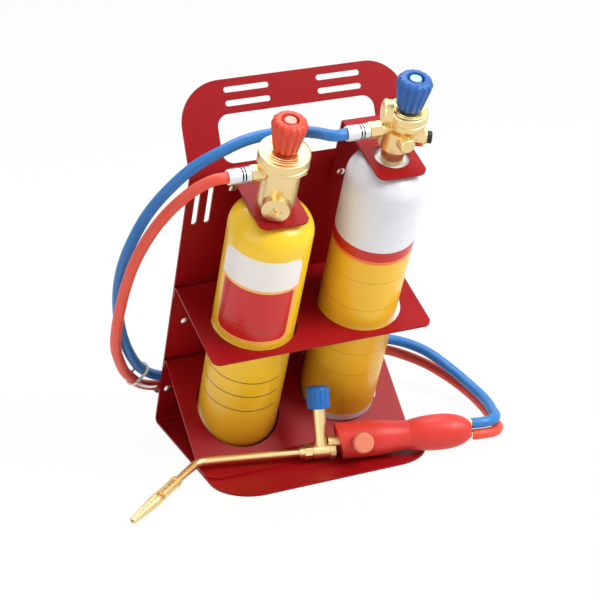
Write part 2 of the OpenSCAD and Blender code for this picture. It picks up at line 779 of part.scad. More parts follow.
module oxygen_regulator_body() {
    stem_low = oxy_stem_low - oxy_body_z;
    passage_z = oxy_body_h - 14;
    color(brass) on_axis(bottle_x, oxy_body_z) difference() {
        union() {
            translate([0, 0, stem_low]) cylinder(r = oxy_stem_d / 2, h = 1 - stem_low);
            cylinder(r = oxy_body_r, h = oxy_body_h - 5.5);
            translate([oxy_offset, 0, oxy_body_h - 6]) cylinder(r1 = 12, r2 = oxy_bonnet_r - 1.5, h = 3);
            translate([oxy_offset, 0, oxy_body_h - 3]) cylinder(r = oxy_bonnet_r - 1.5, h = 3);
            translate([oxy_offset, 0, 0]) sideways(barrel_z, barrel_angle) translate([0, 0, barrel_from])
                cylinder(r = barrel_r, h = barrel_reach - barrel_from);
            sideways(relief_z, relief_angle) cylinder(r = 7.5, h = relief_at);
            sideways(front_z, 270) cylinder(r = 7.4, h = front_reach);
            sideways(oxy_outlet_z, 180) cylinder(r = 5.5, h = oxy_outlet_at);
        }
        translate([0, 0, stem_low - 1]) cylinder(r = oxy_neck_d / 2 + seat_fit, h = valve_rise + 1.2);
        translate([0, 0, stem_low]) cylinder(r = poppet_r - 0.5, h = passage_z - stem_low);
        translate([oxy_offset, 0, passage_z - 2]) cylinder(r = poppet_r + press_fit, h = oxy_body_h);
        sideways(passage_z - 1.5, 0) cylinder(r = 1.5, h = oxy_offset);
        translate([oxy_offset, 0, 0]) sideways(barrel_z, barrel_angle) translate([0, 0, barrel_reach])
            cylinder(r = side_cap_r + seat_fit, h = side_cap_h + seat_fit);
    }
}

module oxygen_regulator_bonnet() {
    color(brass) on_oxy_bonnet() difference() {
        bonnet(oxy_bonnet_r, oxy_bonnet_h, oxy_cavity_r);
        sideways(barrel_z - oxy_body_h, barrel_angle) translate([0, 0, barrel_from - 0.2])
            cylinder(r = barrel_r + 0.2, h = oxy_bonnet_r);
    }
}

// A round cap that closes the side barrel.
module oxygen_side_cap() {
    color(brass) on_oxy_bonnet(-oxy_body_h) sideways(barrel_z, barrel_angle) translate([0, 0, barrel_reach])
        rotate_extrude() polygon(concat([[0, 0], [side_cap_r, 0]],
            arc([side_cap_r - 3, 1], 3, 0, 90), [[0, side_cap_h]]));
}

module oxygen_diaphragm() color(dark) on_oxy_bonnet() diaphragm(oxy_cavity_r);

module oxygen_spring() color(pale_grey) on_oxy_bonnet() spring();

module oxygen_poppet() {
    color(pale_grey) on_oxy_bonnet(-16 + rest_gap) cylinder(r = poppet_r, h = 16 - 2 * rest_gap);
}

module oxygen_adjusting_screw() color(brass) on_oxy_bonnet() adjusting_screw(oxy_bonnet_h);

module oxygen_knob() color(knob_blue) on_oxy_bonnet(oxy_bonnet_h + knob_gap) knob();

module oxygen_knob_cap() color(pale_grey) on_oxy_bonnet(oxy_bonnet_h + knob_gap) knob_button();

module oxygen_relief_valve() {
    color(brass) on_axis(bottle_x, oxy_body_z) sideways(relief_z, relief_angle) translate([0, 0, relief_at])
        difference() {
            union() {
                rotate([0, 0, 30]) cylinder(r = 9, h = 7, $fn = 6);
                cylinder(r = 6.5, h = 9);
            }
            translate([0, 0, 5]) cylinder(r = 2 + press_fit, h = 6);
        }
}

module oxygen_relief_cap() {
    color(dark) on_axis(bottle_x, oxy_body_z) sideways(relief_z, relief_angle)
    translate([0, 0, relief_at + 9]) {
        translate([0, 0, -3]) cylinder(r = 2, h = 4);
        cylinder(r = 5.4, h = 4.5);
    }
}

module oxygen_front_plug() {
    color(brass) on_axis(bottle_x, oxy_body_z) sideways(front_z, 270) translate([0, 0, front_reach])
        rotate_extrude() polygon(concat([[0, 0], [7, 0]], arc([5, 2], 2, 0, 90), [[0, 4]]));
}

module oxygen_outlet_nut() {
    color(brass) on_axis(bottle_x, oxy_body_z) sideways(oxy_outlet_z, 180)
        translate([0, 0, oxy_outlet_at]) outlet_nut();
}

module oxygen_hose_ferrule() {
    color(pale_grey) on_axis(bottle_x, oxy_body_z) sideways(oxy_outlet_z, 180)
        translate([0, 0, oxy_outlet_at + nut_len]) ferrule();
}

// ---------- torch ----------

grip_r = grip_front_d / 2;
grip_len = grip_front_len + grip_rear_len;
lance_r = lance_d / 2;
torch_x = 16;               // the handle's front end, to the right of the middle
torch_ahead = 6.7;          // how far it lies in front of the cradle's flange
torch_yaw = -14.2;
torch_roll = 17;            // the torch leans back, with its valve stem towards the cylinders
torch_y = foot_line - cradle_foot - cradle_flange - torch_ahead;
torch_z = 2 * sheet_t + sqrt(pow(grip_r + rest_gap, 2) - torch_ahead * torch_ahead);
bar_r = 6;
spindle_r = 3;
stem_x = -13.6;
block_front = -21.4;
lance_nut_len = 13;
socket_depth = 5;           // how far the lance tube reaches into the block past its nut
gas_valve_x = 22.5;
nipple_half = 5.3;          // from the handle's middle to the middle of each hose
nipple_out = 2;

// The torch's frame: x runs back along the handle from its front end, z up its valve stem.
module on_torch() {
    translate([torch_x, torch_y, torch_z]) rotate([0, 0, torch_yaw]) rotate([-torch_roll, 0, 0]) children();
}

// The same with z along the handle, and its x straight down.
module on_grip(at = 0) {
    on_torch() rotate([0, 90, 0]) translate([0, 0, at]) children();
}

// The lance's frame: z runs forward from the handle's front end, x the way the lance bends.
module on_lance(at = 0) {
    on_torch() translate([0, 0, -lance_drop]) rotate([0, -90, 0]) rotate([0, 0, lance_turn])
        translate([0, 0, at]) children();
}
lance_turn = 248;

module torch_handle_front() {
    taper_from = 34;
    waist_r = grip_waist_d / 2;
    color(knob_red) on_grip() difference() {
        rotate_extrude() polygon(concat([[0, 0], [grip_r, 0]],
            [for (i = [0:12]) [(grip_r + waist_r) / 2 + (grip_r - waist_r) / 2 * cos(180 * i / 12),
                taper_from + (grip_front_len - taper_from) * i / 12]],
            [[0, grip_front_len]]));
        translate([-grip_r, 0, 0]) rotate([0, -10, 0]) translate([-50, -50, -100]) cube(100);
        translate([0, 0, -1]) cylinder(r = bar_r + seat_fit, h = grip_front_len + 2);
        translate([0, 0, gas_valve_x]) rotate([90, 0, 0]) cylinder(r = spindle_r + seat_fit, h = grip_r + 1);
    }
}

// Radius of the rear moulding at the share u of its length.
function bulge_r(u) =
    let (full = grip_bulge_d / 2, peak = 0.47, k = peak / sqrt(1 - pow(grip_waist_d / grip_bulge_d, 2)))
    u < peak ? full * sqrt(1 - pow((peak - u) / k, 2)) : full * sqrt(1 - pow((u - peak) / 0.58, 2.5));

module torch_handle_rear() {
    color(knob_red) on_grip(grip_front_len) difference() {
        rotate_extrude() polygon(concat([[0, 0]],
            [for (i = [0:16]) [bulge_r(i / 16), grip_rear_len * i / 16]], [[0, grip_rear_len]]));
        translate([0, 0, -1]) cylinder(r = bar_r + seat_fit, h = bar_end - grip_front_len + 1);
        for (s = [-1, 1]) translate([s * nipple_half, 0, 0])
            cylinder(r = nipple_r + seat_fit, h = grip_rear_len + 1);
    }
}
bar_end = grip_len - 22;
nipple_r = 3.6;

// The brass body: a bar through the handle that carries both valves and the lance.
module torch_valve_block() {
    color(brass) difference() {
        union() {
            on_grip(stem_x + stem_d / 2 + 0.3) cylinder(r = bar_r, h = bar_end - stem_x - stem_d / 2 - 0.3);
            on_grip(bar_end - 4) for (s = [-1, 1]) translate([s * nipple_half, 0, 0])
                cylinder(r = nipple_r, h = 4);
            on_torch() translate([0, 0, -lance_drop]) rotate([0, 90, 0]) translate([0, 0, block_front])
                cylinder(r = 7, h = -block_front - 1);
            on_torch() translate([0, 0, -lance_drop]) rotate([0, 90, 0]) translate([0, 0, -6])
                cylinder(r = 8.5, h = 5, $fn = 12);
            on_torch() translate([stem_x, 0, -lance_drop]) cylinder(r = stem_d / 2, h = 8.5);
        }
        on_torch() translate([stem_x, 0, -lance_drop - 2]) cylinder(r = spindle_r + run_fit, h = 12);
        on_lance(-block_front - socket_depth) cylinder(r = lance_r + run_fit, h = socket_depth + 1);
        on_grip(gas_valve_x) rotate([90, 0, 0]) cylinder(r = spindle_r + run_fit, h = bar_r + 1);
    }
}

// A plain tube round the oxygen valve's spindle.
module torch_oxygen_stem() {
    color(brass) on_torch() translate([stem_x, 0, 8.5 - lance_drop]) difference() {
        cylinder(r = stem_d / 2, h = stem_len - 9);
        translate([0, 0, -1]) cylinder(r = spindle_r + run_fit, h = stem_len);
    }
}

module torch_oxygen_spindle() {
    color(brass) on_torch() translate([stem_x, 0, -lance_drop - 1.5])
        cylinder(r = spindle_r, h = stem_len + 12);
}

module valve_knob(r, h, count, flute_r) {
    difference() {
        rotate_extrude() polygon(concat([[0, 0], [r - 1, 0], [r, 1]],
            arc([r - 2.5, h - 2.5], 2.5, 0, 90), [[0, h]]));
        for (i = [0:count - 1]) rotate([0, 0, 360 * i / count]) translate([r + flute_r * 0.45, 0, -1])
            cylinder(r = flute_r, h = h + 2, $fn = 16);
        translate([0, 0, -1]) cylinder(r = spindle_r + press_fit, h = h - 3);
    }
}

module torch_oxygen_knob() {
    color(knob_blue) on_torch() translate([stem_x, 0, stem_len - lance_drop])
        valve_knob(valve_knob_d / 2, valve_knob_h, 12, 1.3);
}

module torch_gas_spindle() {
    color(brass) on_grip(gas_valve_x) rotate([90, 0, 0]) translate([0, 0, 2])
        cylinder(r = spindle_r, h = grip_r + 2.4);
}

module torch_gas_knob() {
    color(knob_red) on_grip(gas_valve_x) rotate([90, 0, 0]) translate([0, 0, grip_r + 0.6])
        valve_knob(gas_valve_d / 2, gas_valve_h, 16, 0.8);
}

// The union nut that holds the lance in the block.
module torch_lance_nut() {
    color(brass) on_lance(-block_front) difference() {
        union() {
            cylinder(r = 5.6, h = lance_nut_len);
            translate([0, 0, 1.5]) cylinder(r = 6.9, h = 6.5, $fn = 6);
        }
        translate([0, 0, -1]) cylinder(r = lance_r + run_fit, h = lance_nut_len + 2);
    }
}

elbow_r = 14;
elbow_swell = 0.03;         // the bent part is a shade thicker, and the straight parts reach into it
elbow_lap = 0.5;
elbow_set = elbow_r * tan(lance_bend / 2);
socket_from = tip_len * 0.34;
socket_to = tip_len * 0.59;
socket_r = 5.2;

// Past the lance's bend: z runs along the tip, from the corner of the bend.
module on_tip(at) {
    on_lance(lance_len) rotate([0, lance_bend, 0]) translate([0, 0, at]) children();
}

module torch_lance_tube() {
    start = -block_front - socket_depth + rest_gap;
    color(brass) {
        on_lance(start) cylinder(r = lance_r, h = lance_len - elbow_set - start + elbow_lap);
        on_lance(lance_len - elbow_set) translate([elbow_r, 0, 0]) rotate([0, 0, 180]) rotate([90, 0, 0])
            rotate_extrude(angle = lance_bend) translate([elbow_r, 0]) circle(lance_r + elbow_swell);
        on_tip(elbow_set - elbow_lap) cylinder(r = lance_r, h = socket_from + 8 - elbow_set + elbow_lap);
    }
}

module torch_tip_socket() {
    color(brass) on_tip(socket_from) difference() {
        union() {
            cylinder(r = socket_r, h = socket_to - socket_from);
            translate([0, 0, 1]) cylinder(r = socket_r + 0.5, h = 2.5);
        }
        translate([0, 0, -1]) cylinder(r = lance_r + press_fit, h = 9.5);
        translate([0, 0, 7]) cylinder(r = 2.6, h = tip_len);
        translate([0, 0, socket_to - socket_from - 5]) cylinder(r = 3.4 + press_fit, h = 6);
    }
}

module torch_tip_nozzle() {
    tip = tip_len - socket_to;
    color(brass) on_tip(socket_to) difference() {
        rotate_extrude() polygon([[0, -4.8], [3.4, -4.8], [3.4, 1], [4.4, 1.6], [5.7, 5], [5.8, 8], [5.2, 16],
            [3.3, tip - 1], [2.9, tip], [0, tip]]);
        translate([0, 0, -6]) cylinder(r = 1, h = tip + 7);
    }
}

// A brass nipple from the bar's end to the hose, at the rear of the handle.
module nipple(s) {
    on_grip(bar_end + rest_gap) translate([s * nipple_half, 0, 0]) difference() {
        cylinder(r = nipple_r, h = grip_len + nipple_out - bar_end - rest_gap);
        translate([0, 0, -1]) cylinder(r = 2, h = grip_len);
    }
}

module torch_oxygen_nipple() color(brass) nipple(-1);

module torch_gas_nipple() color(brass) nipple(1);

// ---------- hoses ----------

// Each route runs from its regulator's ferrule down the left side, through the clips behind the
// panel and round the right side to the torch.
oxygen_route = [
    [2.5, -117.9, 335.8], [-8, -117.9, 335.8], [-19, -110, 337.5], [-29, -98, 337], [-39, -88, 335],
    [-53, -81, 333], [-72, -78, 330], [-94, -77, 323], [-117, -70, 310], [-136, -60, 291],
    [-151, -47, 268], [-161, -34, 243], [-167, -20, 217], [-169, -7, 191], [-167, 6, 164],
    [-161, 21, 137], [-152, 36, 112], [-142, 49, 92], [-133, 60, 78], [-124, 68.5, 68],
    [-113, 76.5, 59], [-103.3, 80.1, 53.9], [-90.6, 82.5, 48.4], [-78, 84, 45.2], [-64, 84.5, 44],
    [-40, 84.2, 44.5], [-14, 83.5, 46.2], [12, 82.8, 47.8], [38, 82, 49.6], [62, 81.4, 51],
    [84, 81, 51.7], [106, 81, 51.7], [124, 79.5, 50.5], [141, 74, 48], [156, 64, 44],
    [168, 49, 39], [176, 31, 33], [181, 10, 28], [184, -12, 24], [184.5, -33, 22],
    [182, -52, 21.5], [178, -67, 21.5], [174.5, -79, 22.3], [168, -87, 23.5], [159, -91.3, 24.7],
    [150, -91.1, 25], [143.4, -89.4, 25]
];
gas_route = [
    [-101, -106.3, 309.2], [-111, -106.3, 309.2], [-124, -101, 303], [-139, -91, 289], [-151, -77, 270],
    [-160, -62, 248], [-166, -45, 223], [-169, -28, 197], [-170, -11, 170], [-169.5, 6, 143],
    [-166, 23, 118], [-158, 39, 96], [-149, 53, 78], [-139, 64, 65], [-129, 74, 54],
    [-118, 81.5, 46.8], [-108.8, 84.9, 43.1], [-96.1, 87.3, 37.7], [-83, 88.8, 34.5], [-68, 89.4, 33],
    [-42, 89.2, 33.4], [-14, 88.6, 34.8], [12, 87.8, 36.4], [38, 87, 38], [62, 86.5, 39.2],
    [84, 86.3, 39.8], [106, 86.3, 39.8], [124, 85, 38], [141, 79, 34], [156, 69, 29],
    [169, 54, 24], [178, 34, 19.5], [184, 12, 15.5], [187, -12, 12], [186, -35, 10.3],
    [183, -53, 10], [179, -67, 10.3], [176, -82, 11.2], [169, -90, 12.3], [159, -94.1, 14],
    [149, -94, 14.7], [142.9, -92.5, 14.7]
];

module oxygen_hose() color(hose_blue) tube(oxygen_route, hose_d / 2);

module gas_hose() color(hose_red) tube(gas_route, hose_d / 2);

// A narrow tie round both hoses at the left.
tie_at = [-133.4, 64.4, 68.6];
tie_turn = [146.4, 41, 178];
tie_half = 6.6;

module tie_outline(r) {
    square([2 * tie_half, 2 * r], center = true);
    for (s = [-1, 1]) translate([s * tie_half, 0]) circle(r);
}

module hose_tie() {
    color(pale_grey) translate(tie_at) rotate(tie_turn) linear_extrude(3.6, center = true) difference() {
        tie_outline(hose_d / 2 + 1.6);
        tie_outline(hose_d / 2 + 0.4);
    }
}

// ---------- everything ----------

carrier_sheet();
bottle_shelf();
bottle_cradle();
gas_neck_bracket();
oxygen_neck_bracket();
panel_rivets();
hose_clips();
clip_screws();
gas_cylinder();
gas_cylinder_valve();
gas_regulator_body();
gas_regulator_bonnet();
gas_diaphragm();
gas_spring();
gas_poppet();
gas_adjusting_screw();
gas_knob();
gas_knob_cap();
gas_side_plug();
gas_outlet_nut();
gas_hose_ferrule();
oxygen_cylinder();
oxygen_cylinder_foot();
oxygen_cylinder_valve();
oxygen_regulator_body();
oxygen_regulator_bonnet();
oxygen_diaphragm();
oxygen_spring();
oxygen_poppet();
oxygen_adjusting_screw();
oxygen_knob();
oxygen_knob_cap();
oxygen_side_cap();
oxygen_relief_valve();
oxygen_relief_cap();
oxygen_front_plug();
oxygen_outlet_nut();
oxygen_hose_ferrule();
torch_handle_front();
torch_handle_rear();
torch_valve_block();
torch_oxygen_stem();
torch_oxygen_spindle();
torch_oxygen_knob();
torch_gas_spindle();
torch_gas_knob();
torch_lance_nut();
torch_lance_tube();
torch_tip_socket();
torch_tip_nozzle();
torch_oxygen_nipple();
torch_gas_nipple();
oxygen_hose();
gas_hose();
hose_tie();
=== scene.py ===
"""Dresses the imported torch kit: its hoses, knobs and finishes, and the floor, light and camera.

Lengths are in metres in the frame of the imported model: +Z up, the front towards -Y. The back panel
leans forward by LEAN from its foot line, and both cylinders stand parallel to it.
"""

from __future__ import annotations

import json
import logging
import math
from collections.abc import Callable, Iterable, Sequence
from dataclasses import dataclass, field
from enum import Enum

import bmesh
import bpy
import numpy as np
from mathutils import Matrix

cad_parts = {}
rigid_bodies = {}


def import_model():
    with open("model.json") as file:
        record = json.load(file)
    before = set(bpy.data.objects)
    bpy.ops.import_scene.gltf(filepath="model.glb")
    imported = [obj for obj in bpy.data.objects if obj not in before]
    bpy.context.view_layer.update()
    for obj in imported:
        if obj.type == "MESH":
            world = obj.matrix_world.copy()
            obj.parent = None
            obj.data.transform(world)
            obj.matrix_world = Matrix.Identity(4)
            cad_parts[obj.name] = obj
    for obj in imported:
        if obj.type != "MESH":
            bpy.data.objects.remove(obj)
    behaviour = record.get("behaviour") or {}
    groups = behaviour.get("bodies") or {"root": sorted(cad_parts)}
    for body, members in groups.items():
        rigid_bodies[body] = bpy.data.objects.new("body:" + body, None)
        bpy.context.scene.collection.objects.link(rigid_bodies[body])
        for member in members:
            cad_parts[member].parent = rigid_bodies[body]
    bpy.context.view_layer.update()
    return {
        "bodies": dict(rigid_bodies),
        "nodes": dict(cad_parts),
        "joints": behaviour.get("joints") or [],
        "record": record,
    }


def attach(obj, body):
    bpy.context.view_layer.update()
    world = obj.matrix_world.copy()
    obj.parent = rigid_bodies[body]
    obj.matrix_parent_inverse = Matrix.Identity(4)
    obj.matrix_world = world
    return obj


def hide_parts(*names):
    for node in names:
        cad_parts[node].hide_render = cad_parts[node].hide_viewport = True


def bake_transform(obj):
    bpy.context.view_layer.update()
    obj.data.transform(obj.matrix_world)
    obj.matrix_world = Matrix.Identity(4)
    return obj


LOG = logging.getLogger("torch_kit")

Colour = tuple[float, float, float]
Point = tuple[float, float, float]

LEAN = math.radians(24)
FOOT_LINE = 0.094
BOTTLE_X = 0.052
BOTTLE_Y = 0.057
OXYGEN_OFFSET = 0.0055
STRAIGHT_UP = (0.0, 0.0, 1.0)
SIDEWAYS = (1.0, 0.0, 0.0)
WRAP_MAP = "Wrap"
UP_PANEL = (0.0, -math.sin(LEAN), math.cos(LEAN))
OUT_OF_PANEL = (0.0, math.cos(LEAN), math.sin(LEAN))


# ---------- frames ----------


def shift(x: float, y: float, z: float) -> np.ndarray:
    """The 4 by 4 matrix that moves by (x, y, z)."""
    move = np.eye(4)
    move[:3, 3] = (x, y, z)
    return move


def turn(axis: str, degrees: float) -> np.ndarray:
    """The 4 by 4 matrix of a right-handed turn about the named axis."""
    return np.array(Matrix.Rotation(math.radians(degrees), 4, axis))


PANEL = shift(0, FOOT_LINE, 0) @ turn("X", math.degrees(LEAN))


def axis_frame(x: float, height: float) -> np.ndarray:
    """A frame on an axis parallel to the cylinders.

    Args:
        x: Distance to the right of the middle.
        height: Distance along the panel from its foot line.

    Returns:
        A 4 by 4 matrix whose z runs up the axis.
    """
    return PANEL @ shift(x, -BOTTLE_Y, height)


# ---------- surfaces ----------


def grid_piece(
    name: str,
    grid: np.ndarray,
    frame: np.ndarray | None = None,
    smooth_below: float = 35.0,
    bored: bool = False,
) -> bpy.types.Object:
    """Makes a closed piece from a grid of points whose second index goes round.

    Each ring is joined to the next by four-sided faces. Each end ring is joined to a vertex at its
    middle, or the last ring to the first where the piece is bored through. The piece gets a UV map:
    along the rings in metres, and round them from 0 to 1.

    Args:
        name: Name of the object and its mesh.
        grid: Points of shape (rings, sides, 3), anticlockwise seen from the last ring.
        frame: Matrix that places the points, or None where they are placed already.
        smooth_below: Edges that turn by more than this, in degrees, stay sharp.
        bored: Whether the rings form a loop, as round a hole.

    Returns:
        The new object, at the origin, with its place in its mesh.
    """
    if bored:
        grid = np.concatenate([grid, grid[:1]])
    rings, sides = grid.shape[:2]
    points = grid.reshape(-1, 3)
    if not bored:
        points = np.concatenate([points, grid[[0, -1]].mean(axis=1)])
    if frame is not None:
        points = points @ frame[:3, :3].T + frame[:3, 3]
    ring, side = np.meshgrid(np.arange(rings - 1), np.arange(sides), indexing="ij")
    after = (side + 1) % sides
    here, there = ring * sides, (ring + 1) * sides
    quads = np.stack([here + side, here + after, there + after, there + side], -1).reshape(-1, 4)
    around = np.arange(sides)
    onward = (around + 1) % sides
    first = np.stack([np.full(sides, rings * sides), onward, around], -1)
    top = (rings - 1) * sides
    last = np.stack([np.full(sides, rings * sides + 1), top + around, top + onward], -1)
    ends = [] if bored else [first.ravel(), last.ravel()]
    loops = np.concatenate([quads.ravel(), *ends]).astype(np.int32)
    sizes = np.concatenate([np.full(len(quads), 4), np.full(sides * len(ends), 3)])
    starts = np.concatenate([[0], np.cumsum(sizes)[:-1]]).astype(np.int32)

    mesh = bpy.data.meshes.new(name)
    mesh.vertices.add(len(points))
    mesh.vertices.foreach_set("co", points.astype(np.float32).ravel())
    mesh.loops.add(len(loops))
    mesh.loops.foreach_set("vertex_index", loops)
    mesh.polygons.add(len(sizes))
    mesh.polygons.foreach_set("loop_start", starts)
    mesh.polygons.foreach_set("use_smooth", np.ones(len(sizes), bool))
    mesh.update(calc_edges=True)
    mesh.validate()
    write_uv(mesh, grid, loops)
    if bored:
        weld(mesh)
    mesh.set_sharp_from_angle(angle=math.radians(smooth_below))
    piece = bpy.data.objects.new(name, mesh)
    bpy.context.scene.collection.objects.link(piece)
    return piece


def weld(mesh: bpy.types.Mesh) -> None:
    """Joins the doubled ring where a loop of rings closes."""
    shape = bmesh.new()
    shape.from_mesh(mesh)
    bmesh.ops.remove_doubles(shape, verts=shape.verts, dist=1e-7)
    shape.to_mesh(mesh)
    shape.free()


def write_uv(mesh: bpy.types.Mesh, grid: np.ndarray, loops: np.ndarray) -> None:
    """Writes the UV map of a grid piece: length along the rings' middles, and turn round them."""
    rings, sides = grid.shape[:2]
    middles = grid.mean(axis=1)
    steps = np.linalg.norm(np.diff(middles, axis=0), axis=1)
    along = np.concatenate([[0.0], np.cumsum(steps)])
    u = np.concatenate([np.repeat(along, sides), [along[0], along[-1]]])
    v = np.concatenate([np.tile(np.arange(sides) / sides, rings), [0.0, 0.0]])
    layer = mesh.uv_layers.new(name=WRAP_MAP)
    layer.data.foreach_set("uv", np.stack([u[loops], v[loops]], -1).astype(np.float32).ravel())


def circle_angles(count: int) -> np.ndarray:
    """Equal steps of one turn, from 0."""
    return np.linspace(0, 2 * np.pi, count, endpoint=False)


def rings_about_z(radius: np.ndarray, height: np.ndarray, angle: np.ndarray) -> np.ndarray:
    """Grid of the points (r cos a, r sin a, z), with one row for each height."""
    shape = (len(height), len(angle))
    return np.stack(
        [radius * np.cos(angle), radius * np.sin(angle), np.broadcast_to(height, shape)], -1
    )


def smooth_route(
    points: Sequence[Point], step: float = 0.003, fineness: int = 12
) -> np.ndarray:
    """Runs one smooth curve through chosen points.

    Between neighbours it is the cubic Hermite curve whose slope at each point is the mean slope of
    the two stretches that meet there, and it is then cut into steps of equal length.

    Args:
        points: The chosen points.
        step: Length of one step.
        fineness: How many points are worked out for each chosen one, before the steps are cut.

    Returns:
        Points of shape (n, 3).
    """
    chosen = np.asarray(points, float)
    knots = np.concatenate([[0.0], np.cumsum(np.linalg.norm(np.diff(chosen, axis=0), axis=1))])
    slopes = np.gradient(chosen, knots, axis=0)
    fine = np.linspace(0, knots[-1], fineness * len(chosen))
    low = np.clip(np.searchsorted(knots, fine, side="right") - 1, 0, len(knots) - 2)
    width = (knots[low + 1] - knots[low])[:, None]
    t = (fine - knots[low])[:, None] / width
    curve = (
        (2 * t**3 - 3 * t**2 + 1) * chosen[low]
        + (t**3 - 2 * t**2 + t) * width * slopes[low]
        + (3 * t**2 - 2 * t**3) * chosen[low + 1]
        + (t**3 - t**2) * width * slopes[low + 1]
    )
    lengths = np.concatenate([[0.0], np.cumsum(np.linalg.norm(np.diff(curve, axis=0), axis=1))])
    even = np.linspace(0, lengths[-1], max(2, round(lengths[-1] / step)))
    return np.stack([np.interp(even, lengths, curve[:, k]) for k in range(3)], -1)


def swept(name: str, path: np.ndarray, outline: np.ndarray) -> bpy.types.Object:
    """Carries an outline along a path.

    At each point of the path the outline lies in the plane square to it: its first axis is the
    path's direction crossed with straight up, and its second is square to both.

    Args:
        name: Name of the new piece.
        path: Points of shape (n, 3), nowhere straight up or down.
        outline: Points of shape (sides, 2), anticlockwise.

    Returns:
        The new object.
    """
    ahead = np.gradient(path, axis=0)
    ahead /= np.linalg.norm(ahead, axis=1, keepdims=True)
    aside = np.cross(ahead, STRAIGHT_UP)
    aside /= np.linalg.norm(aside, axis=1, keepdims=True)
    over = np.cross(ahead, aside)
    grid = (
        path[:, None]
        + outline[None, :, :1] * aside[:, None]
        + outline[None, :, 1:] * over[:, None]
    )
    return grid_piece(name, grid)


def ring_outline(radius: float, sides: int = 28) -> np.ndarray:
    """Points of a circle round the origin."""
    angle = circle_angles(sides)
    return radius * np.stack([np.cos(angle), np.sin(angle)], -1)


# ---------- shader maths ----------

# Numbers of a Mix node's colour sockets
MIX_FACTOR, MIX_LOW, MIX_HIGH, MIX_RESULT = 0, 6, 7, 2


class Signal:
    """A shader value: sums and products written on it add their Math nodes."""

    def __init__(self, bench: Bench, socket: bpy.types.NodeSocket) -> None:
        """Wraps one output socket of a node on the bench."""
        self.bench = bench
        self.socket = socket

    def maths(self, operation: str, *others: object) -> Signal:
        """Adds one Math node that starts from this value."""
        return self.bench.maths(operation, self, *others)

    def __add__(self, other: object) -> Signal:
        """This value plus another."""
        return self.maths("ADD", other)

    __radd__ = __add__

    def __mul__(self, other: object) -> Signal:
        """This value times another."""
        return self.maths("MULTIPLY", other)

    __rmul__ = __mul__

    def __sub__(self, other: object) -> Signal:
        """This value less another."""
        return self.maths("SUBTRACT", other)

    def __rsub__(self, other: object) -> Signal:
        """Another value less this."""
        return self.bench.maths("SUBTRACT", other, self)

    def __abs__(self) -> Signal:
        """This value without its sign."""
        return self.maths("ABSOLUTE")

    def at_least(self, floor: float) -> Signal:
        """This value, or the floor where it is lower."""
        return self.maths("MAXIMUM", floor)

    def above(self, edge: float, blur: float) -> Signal:
        """A mask that goes from 0 to 1 over a width of blur round the edge."""
        return self.bench.maths("MULTIPLY_ADD", self, 1 / blur, 0.5 - edge / blur, clamp=True)

    def between(self, low: float, high: float, blur: float) -> Signal:
        """A mask that is 1 from low to high and 0 elsewhere."""
        return self.above(low, blur) * (1 - self.above(high, blur))

    def line(self, middle: float, width: float, blur: float) -> Signal:
        """A mask that is 1 along a thin line."""
        return self.between(middle - width / 2, middle + width / 2, blur)


class Bench:
    """Adds nodes to one node tree."""

    def __init__(self, tree: bpy.types.NodeTree) -> None:
        """Takes over an emptied tree."""
        self.tree = tree
        self.tree.nodes.clear()

    def add(
        self,
        kind: str,
        settings: dict[str, object] | None = None,
        inputs: dict[object, object] | None = None,
    ) -> bpy.types.Node:
        """Adds a node.

        Args:
            kind: Blender's name of the node's type.
            settings: Properties, which are set first.
            inputs: Values, colours or links of its sockets, by name or number.

        Returns:
            The new node.
        """
        node = self.tree.nodes.new(kind)
        for key, value in (settings or {}).items():
            setattr(node, key, value)
        for key, value in (inputs or {}).items():
            self.feed(node.inputs[key], value)
        return node

    def feed(self, socket: bpy.types.NodeSocket, value: object) -> None:
        """Links or sets one input socket."""
        if isinstance(value, Signal):
            value = value.socket
        if isinstance(value, bpy.types.NodeSocket):
            self.tree.links.new(value, socket)
        elif isinstance(value, tuple) and len(value) == 3 and socket.type == "RGBA":
            socket.default_value = (*value, 1.0)
        else:
            socket.default_value = value

    def maths(self, operation: str, *values: object, clamp: bool = False) -> Signal:
        """Adds a Math node on up to three values."""
        settings = {"operation": operation, "use_clamp": clamp}
        node = self.add("ShaderNodeMath", settings, dict(enumerate(values)))
        return Signal(self, node.outputs[0])

    def blend(self, mask: object, low: object, high: object) -> bpy.types.NodeSocket:
        """One colour where the mask is 0 and the other where it is 1."""
        inputs = {MIX_FACTOR: mask, MIX_LOW: low, MIX_HIGH: high}
        return self.add("ShaderNodeMix", {"data_type": "RGBA"}, inputs).outputs[MIX_RESULT]

    def seen(self, share: float, rest: float = 0.0) -> Signal:
        """One share for rays from the camera, a mirror or glass, and another for the rest."""
        path = self.add("ShaderNodeLightPath").outputs
        camera, glossy, glass = (
            Signal(self, path[f"Is {kind} Ray"]) for kind in ("Camera", "Glossy", "Transmission")
        )
        return camera.maths("MAXIMUM", glossy.maths("MAXIMUM", glass)) * (share - rest) + rest


@dataclass(frozen=True)
class Noise:
    """A random pattern: its repeats in a metre, its detail, and its stretch along each axis."""

    scale: float
    detail: float = 2.0
    stretch: Point | None = None


